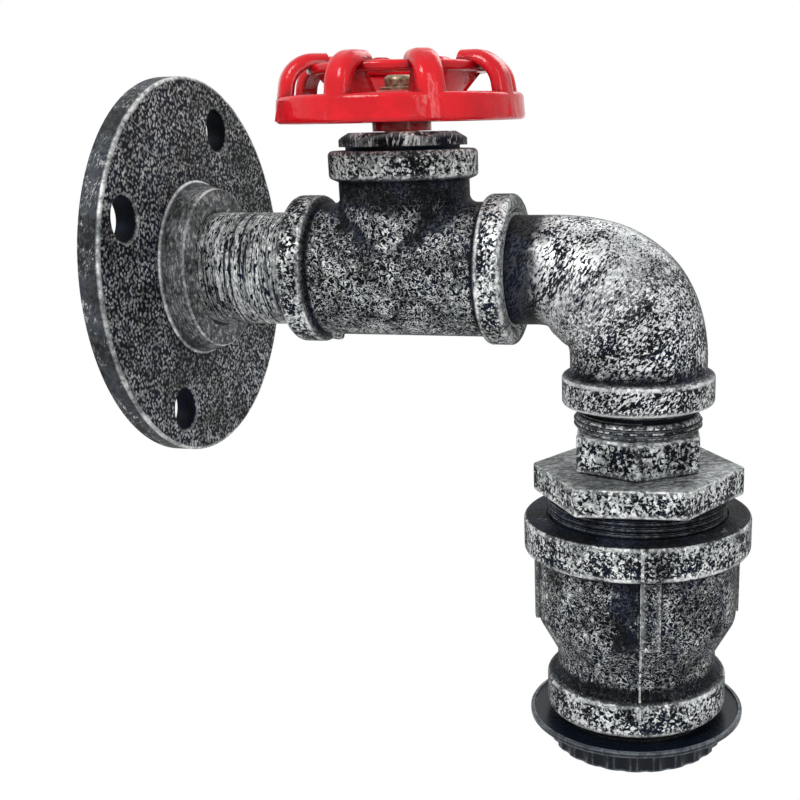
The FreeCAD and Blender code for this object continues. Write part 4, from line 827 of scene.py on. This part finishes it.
RING_RIDGE_REACH = 0.6 * MM
RING_SPECULAR = 0.16
ENAMEL_HOLLOW_REACH = 9 * MM
# How far painted shade darkens the red in the wheel's hollows.
ENAMEL_HOLLOW_SHADE = 0.9
ENAMEL_RUN_WEIGHT = 3.0
ENAMEL_SPECULAR = 0.32
PLAIN_SPECULAR = 0.5
GLOSS_SPREAD = 0.2


def ring_black():
    """Shade ring: blue-black moulding with light catching on its lips and flutes."""
    material, graph, surface, place = new_material("ring_black")
    parts = graph.use(HOLLOWS, Edge=RING_RIDGE_REACH)
    marks = graph.noise(place, "ring_marks")
    body = graph.tint(marks, RING_BLACK, RING_NAVY)
    light = graph.share(graph.level(marks, "ring_light"), "ring_light")
    light = graph.times(parts["Ridge"], light)
    graph.feed_all(
        surface,
        Base_Color=graph.tint(light, body, RING_LIGHT),
        Roughness=graph.share(marks, "ring_roughness"),
        Specular_IOR_Level=RING_SPECULAR,
        Normal=graph.bump(marks, "ring"),
    )
    return material


def red_enamel():
    """Handwheel: thick glossy red enamel with small runs, and painted shade that darkens it in its
    hollows.
    """
    material, graph, surface, place = new_material("red_enamel")
    parts = graph.use(HOLLOWS, Reach=ENAMEL_HOLLOW_REACH)
    runs = graph.noise(place, "enamel_runs")
    peel = graph.noise(place, "enamel_peel")
    red = graph.tint(graph.level(runs, "enamel_runs"), DEEP_RED, FULL_RED)
    # Painted shade: the red darkens in the wheel's hollows.
    red = graph.tint(graph.times(parts["Hollow"], ENAMEL_HOLLOW_SHADE), red, HOLLOW_SHADE_RED)
    height = graph.plus(graph.times(runs, ENAMEL_RUN_WEIGHT), peel)
    graph.feed_all(
        surface,
        Base_Color=red,
        Roughness=graph.share(peel, "enamel_roughness"),
        Specular_IOR_Level=ENAMEL_SPECULAR,
        Normal=graph.bump(height, "enamel"),
    )
    return material


def plain(name, color, metallic, roughness, coat=0.0, grain=None, relief="plain", spread=0.1):
    """A smooth finish with a faint grain and a little unevenness in its gloss."""
    material, graph, surface, place = new_material(name)
    marks = graph.noise(place, "plain_marks", grain)
    shade = (*(channel * (1 - spread) for channel in color), 1)
    glossy = roughness * (1 - GLOSS_SPREAD)
    dull = roughness * (1 + GLOSS_SPREAD)
    graph.feed_all(
        surface,
        Base_Color=graph.tint(graph.level(marks, "plain_marks"), shade, (*color, 1)),
        Roughness=graph.blend(marks, glossy, dull),
        Metallic=metallic,
        Specular_IOR_Level=PLAIN_SPECULAR,
        Coat_Weight=coat,
        Normal=graph.bump(marks, relief),
    )
    return material


# ---------------------------------------------------------------- dressing the nodes

# Plain finishes: colour, metallic and roughness.
PLAIN_FINISHES = {
    "dark_steel": ((0.02, 0.02, 0.022), 0.3, 0.35),
    "nickel_brass": ((0.75, 0.70, 0.58), 1.0, 0.22),
    "brass": ((0.78, 0.57, 0.25), 1.0, 0.25),
    "zinc_steel": ((0.62, 0.63, 0.64), 1.0, 0.28),
    "spring_steel": ((0.55, 0.55, 0.56), 1.0, 0.25),
    "brown_insulation": ((0.16, 0.06, 0.03), 0.0, 0.4),
    "blue_insulation": ((0.05, 0.16, 0.45), 0.0, 0.4),
    "green_insulation": ((0.12, 0.32, 0.05), 0.0, 0.4),
    "stem_brass": ((0.70, 0.53, 0.28), 1.0, 0.3),
}
MATERIALS = {name: plain(name, *finish) for name, finish in PLAIN_FINISHES.items()}
MATERIALS["porcelain"] = plain("porcelain", (0.82, 0.81, 0.77), 0.0, 0.25, coat=0.3)
MATERIALS["aged_brass"] = plain(
    "aged_brass", (0.40, 0.30, 0.20), 0.85, 0.42, grain=900.0, relief="aged_brass", spread=0.7
)
MATERIALS |= {
    "cast_flange": cast_flange(),
    "pipe_nipple": pipe_nipple(),
    "cast_fitting": cast_fitting(),
    "brushed_fitting": brushed_fitting(),
    "worn_steel": worn_steel(),
    "thread_steel": thread_steel(),
    "mould_silver": mould_silver(),
    "red_enamel": red_enamel(),
    "gloss_black": ring_black(),
}
OWN_FINISH = {"wheel_screw": "aged_brass", "wheel_washer": "aged_brass"}


def dress_nodes():
    """Gives each CAD node the material of its slot in the record, or its own finish."""
    slots = {part["node"]: part["material_slot"] for part in frame["record"]["subparts"]}
    for name, node in frame["nodes"].items():
        material = MATERIALS[OWN_FINISH.get(name, slots[name])]
        if not node.material_slots:
            node.data.materials.append(material)
        for slot in node.material_slots:
            slot.material = material


# ---------------------------------------------------------------- new pieces

WELD_DISTANCE = 0.002 * MM

# Threads in millimetres: crest radius, root radius, top, foot and pitch, and the finish.
THREADS = {
    "elbow_joint_thread": (13.75, 13.1, -30.2, -33.0, 1.2, "thread_steel"),
    "collar_thread": (15.05, 14.6, -33.0, -36.4, 1.15, "thread_steel"),
    "bushing_thread": (21.3, 20.8, -52.3, -57.6, 1.45, "thread_steel"),
    "shell_thread": (12.95, 13.6, -94.6, -111.2, 3.63, "nickel_brass"),
}
RIDGE_SHARE = 0.8  # of the pitch
FLANK_SHARE = 0.25  # of half a ridge, from its middle to the end of its crest
STEPS_PER_TURN = 56

# The socket's outline down its rib, in millimetres: radius and height.
SOCKET_OUTLINE = [
    (27.1, -58.6),
    (27.1, -64.6),
    (24.1, -66.4),
    (24.1, -81.0),
    (23.2, -84.6),
    (20.4, -89.4),
    (19.5, -93.2),
    (19.5, -97.0),
    (21.9, -99.0),
    (21.9, -105.3),
]
RIB_EDGE_TURN = 5.6  # degrees from a rib's middle to its edge
MOULD_LINE_WIDTH = 0.65 * MM
MOULD_LINE_PROUD = 0.42 * MM

NUB_RADIUS = 1.5 * MM
NUB_FLARE = 1.25
NUB_ROUND = 0.45 * NUB_RADIUS
NUB_HEIGHT = 2.6 * MM
NUB_LEAN = math.radians(17)
NUB_REACH = 15.6 * MM
NUB_ALONG = -42.2 * MM

SPRING_WIRE = 0.45 * MM
SPRING_TURNS = 5
SPRING_STEPS = 28


def new_piece(name, shape, finish, body="fixture"):
    """Turns a bmesh into a piece that rides on a body."""
    bmesh.ops.remove_doubles(shape, verts=shape.verts, dist=WELD_DISTANCE)
    bmesh.ops.recalc_face_normals(shape, faces=shape.faces)
    mesh = bpy.data.meshes.new(name)
    shape.to_mesh(mesh)
    shape.free()
    piece = bpy.data.objects.new(name, mesh)
    bpy.context.collection.objects.link(piece)
    mesh.materials.append(MATERIALS[finish])
    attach(piece, body)
    return piece


def outline_face(shape, points, turn):
    """A flat face from (radius, height) points, in the half plane at a turn about the head's axis."""
    corners = []
    for radius, height in points:
        across = HEAD[0] + radius * math.cos(turn)
        along = HEAD[1] + radius * math.sin(turn)
        corners.append(shape.verts.new((across, along, height)))
    return shape.faces.new(corners)


def sweep_round_head(shape, geom, angle, steps, rise):
    """Spins geometry about the head's axis, by a rise at each step."""
    bmesh.ops.spin(
        shape,
        geom=geom,
        cent=(*HEAD, 0),
        axis=(0, 0, 1),
        dvec=(0, 0, rise),
        angle=angle,
        steps=steps,
        use_merge=False,
    )


def make_thread(name, crest, root, top, foot, pitch, finish):
    """A ridge that winds down a cylinder, from root radius to crest radius."""
    shape = bmesh.new()
    half = pitch * RIDGE_SHARE / 2
    flank = half * FLANK_SHARE
    points = [
        (root, top),
        (crest, top - half + flank),
        (crest, top - half - flank),
        (root, top - 2 * half),
    ]
    face = outline_face(shape, points, 0.0)
    drop = top - foot - 2 * half
    turns = drop / pitch
    steps = round(turns * STEPS_PER_TURN)
    geom = [face, *face.edges, *face.verts]
    sweep_round_head(shape, geom, 2 * math.pi * turns, steps, -drop / steps)
    new_piece(name, shape, finish)


def make_threads():
    """Threads that show between the screwed fittings, and the lamp's thread in the shell."""
    for name, (*sizes, finish) in THREADS.items():
        make_thread(name, *(size * MM for size in sizes), finish)


def make_mould_lines():
    """The thin raised line where the socket's mould closed, on its front rib and behind."""
    outline = [(radius * MM, height * MM) for radius, height in SOCKET_OUTLINE]
    outer = [(radius + MOULD_LINE_PROUD, height) for radius, height in outline]
    inner = [(radius - MOULD_LINE_PROUD, height) for radius, height in reversed(outline)]
    widest = max(radius for radius, height in outline)
    for side, turn in (("front", FRONT_RIB), ("rear", FRONT_RIB + 180)):
        shape = bmesh.new()
        face = outline_face(shape, outer + inner, math.radians(turn - RIB_EDGE_TURN))
        geom = [face, *face.edges, *face.verts]
        sweep_round_head(shape, geom, MOULD_LINE_WIDTH / widest, 2, 0)
        new_piece("socket_mould_line_" + side, shape, "mould_silver")


def make_casting_nub():
    """The stub of a gate on the underside of the tee, beside its band."""
    shape = bmesh.new()
    bmesh.ops.create_cone(
        shape,
        cap_ends=True,
        segments=24,
        radius1=NUB_RADIUS * NUB_FLARE,
        radius2=NUB_RADIUS,
        depth=NUB_HEIGHT,
    )
    top = [edge for edge in shape.edges if all(vert.co.z > 0 for vert in edge.verts)]
    bmesh.ops.bevel(
        shape, geom=top, offset=NUB_ROUND, affect="EDGES", segments=4, profile=0.5, material=-1
    )
    outward = Vector((-math.sin(NUB_LEAN), 0, -math.cos(NUB_LEAN)))
    turn = outward.to_track_quat("Z", "Y").to_matrix()
    bmesh.ops.rotate(shape, verts=shape.verts, cent=(0, 0, 0), matrix=turn)
    place = outward * NUB_REACH + Vector((0, NUB_ALONG, 0))
    bmesh.ops.translate(shape, verts=shape.verts, vec=place)
    new_piece("tee_casting_nub", shape, "cast_fitting")


def make_contact_spring():
    """Coil spring over the centre contact, made at its rest length in place of the CAD spring; the
    real spring shortens as the contact is pressed.
    """
    low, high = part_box("contact_spring")
    reach = (high[0] - low[0]) / 2 - SPRING_WIRE / 2
    rise = high[2] - low[2] - SPRING_WIRE
    shape = bmesh.new()
    bmesh.ops.create_circle(shape, cap_ends=True, segments=12, radius=SPRING_WIRE / 2)
    upright = Matrix.Rotation(math.pi / 2, 3, "X")
    bmesh.ops.rotate(shape, verts=shape.verts, cent=(0, 0, 0), matrix=upright)
    start = (reach, HEAD_AXIS, low[2] + SPRING_WIRE / 2)
    bmesh.ops.translate(shape, verts=shape.verts, vec=start)
    steps = SPRING_TURNS * SPRING_STEPS
    geom = [*shape.faces, *shape.edges, *shape.verts]
    sweep_round_head(shape, geom, 2 * math.pi * SPRING_TURNS, steps, rise / steps)
    spring = new_piece("contact_coil", shape, "spring_steel")
    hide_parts("contact_spring")
    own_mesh(spring)


# ---------------------------------------------------------------- studio

WORLD_LIGHT = 0.34
FLOOR_HALF = 6.0
FLOOR_LEVEL = -0.35
FLOOR_PAINT = (0.92, 0.92, 0.92, 1)
SHADOW_NEAR = 0.12
SHADOW_FAR = 0.34
LAMP_TARGET = Vector((0, -0.06, -0.03))

# Lamps: place, width and height, and watts.
LAMPS = {
    "key": ((-0.9, 0.35, 0.95), (0.5, 0.4), 11),
    "fill": ((-0.9, -0.9, 0.3), (0.16, 1.2), 4),
    "back": ((0.9, -0.4, 0.8), (0.8, 0.8), 6),
}


def seen_directly(graph):
    """1 for what the camera sees, and for what shows in gloss and through glass."""
    rays = graph.add("ShaderNodeLightPath").outputs
    return graph.most(rays["Is Camera Ray"], rays["Is Transmission Ray"], rays["Is Glossy Ray"])


def mix_shaders(graph, share, first, second):
    node = graph.add("ShaderNodeMixShader")
    for place, value in enumerate((share, first.outputs[0], second.outputs[0])):
        graph.feed(node.inputs[place], value)
    return node.outputs[0]


def make_world():
    """Even pale light from all round, white where the camera looks past the object."""
    world = bpy.data.worlds.new("studio")
    world.use_nodes = True
    bpy.context.scene.world = world
    world.node_tree.nodes.clear()
    graph = Graph(world.node_tree)
    light = graph.add("ShaderNodeBackground")
    graph.feed_all(light, Color=WHITE, Strength=WORLD_LIGHT)
    white = graph.add("ShaderNodeBackground")
    graph.feed_all(white, Color=WHITE, Strength=1.0)
    out = graph.add("ShaderNodeOutputWorld")
    graph.feed(out.inputs["Surface"], mix_shaders(graph, seen_directly(graph), light, white))


def make_lamps():
    """Soft rectangular lamps that face the object."""
    for name, (place, (width, height), watts) in LAMPS.items():
        data = bpy.data.lights.new(name, "AREA")
        data.shape = "RECTANGLE"
        data.size = width
        data.size_y = height
        data.energy = watts
        lamp = bpy.data.objects.new(name, data)
        bpy.context.collection.objects.link(lamp)
        lamp.location = place
        lamp.rotation_mode = "QUATERNION"
        lamp.rotation_quaternion = (LAMP_TARGET - Vector(place)).to_track_quat("-Z", "Y")


def floor_material():
    """Pale matt paint near the object, and plain white away from it."""
    material, graph, surface, place = new_material("floor")
    graph.feed_all(surface, Base_Color=FLOOR_PAINT, Roughness=0.9, Specular_IOR_Level=0.1)
    white = graph.add("ShaderNodeEmission")
    away = graph.measure("DISTANCE", place, (0, TEE_MIDDLE, FLOOR_LEVEL))
    far = graph.step(away, SHADOW_NEAR, SHADOW_FAR)
    share = graph.times(far, seen_directly(graph))
    out = next(node for node in graph.nodes if node.type == "OUTPUT_MATERIAL")
    graph.feed(out.inputs["Surface"], mix_shaders(graph, share, surface, white))
    return material


def make_floor():
    """Plain pale floor that keeps the object's shadow."""
    mesh = bpy.data.meshes.new("floor")
    shape = bmesh.new()
    bmesh.ops.create_grid(shape, x_segments=1, y_segments=1, size=FLOOR_HALF)
    bmesh.ops.translate(shape, verts=shape.verts, vec=(0, 0, FLOOR_LEVEL))
    shape.to_mesh(mesh)
    shape.free()
    floor = bpy.data.objects.new("floor", mesh)
    bpy.context.collection.objects.link(floor)
    mesh.materials.append(floor_material())


# ---------------------------------------------------------------- the scene

make_camera()
make_world()
make_floor()
make_lamps()
dress_nodes()
make_threads()
make_mould_lines()
make_casting_nub()
make_contact_spring()

bpy.context.scene.view_settings.view_transform = "Standard"
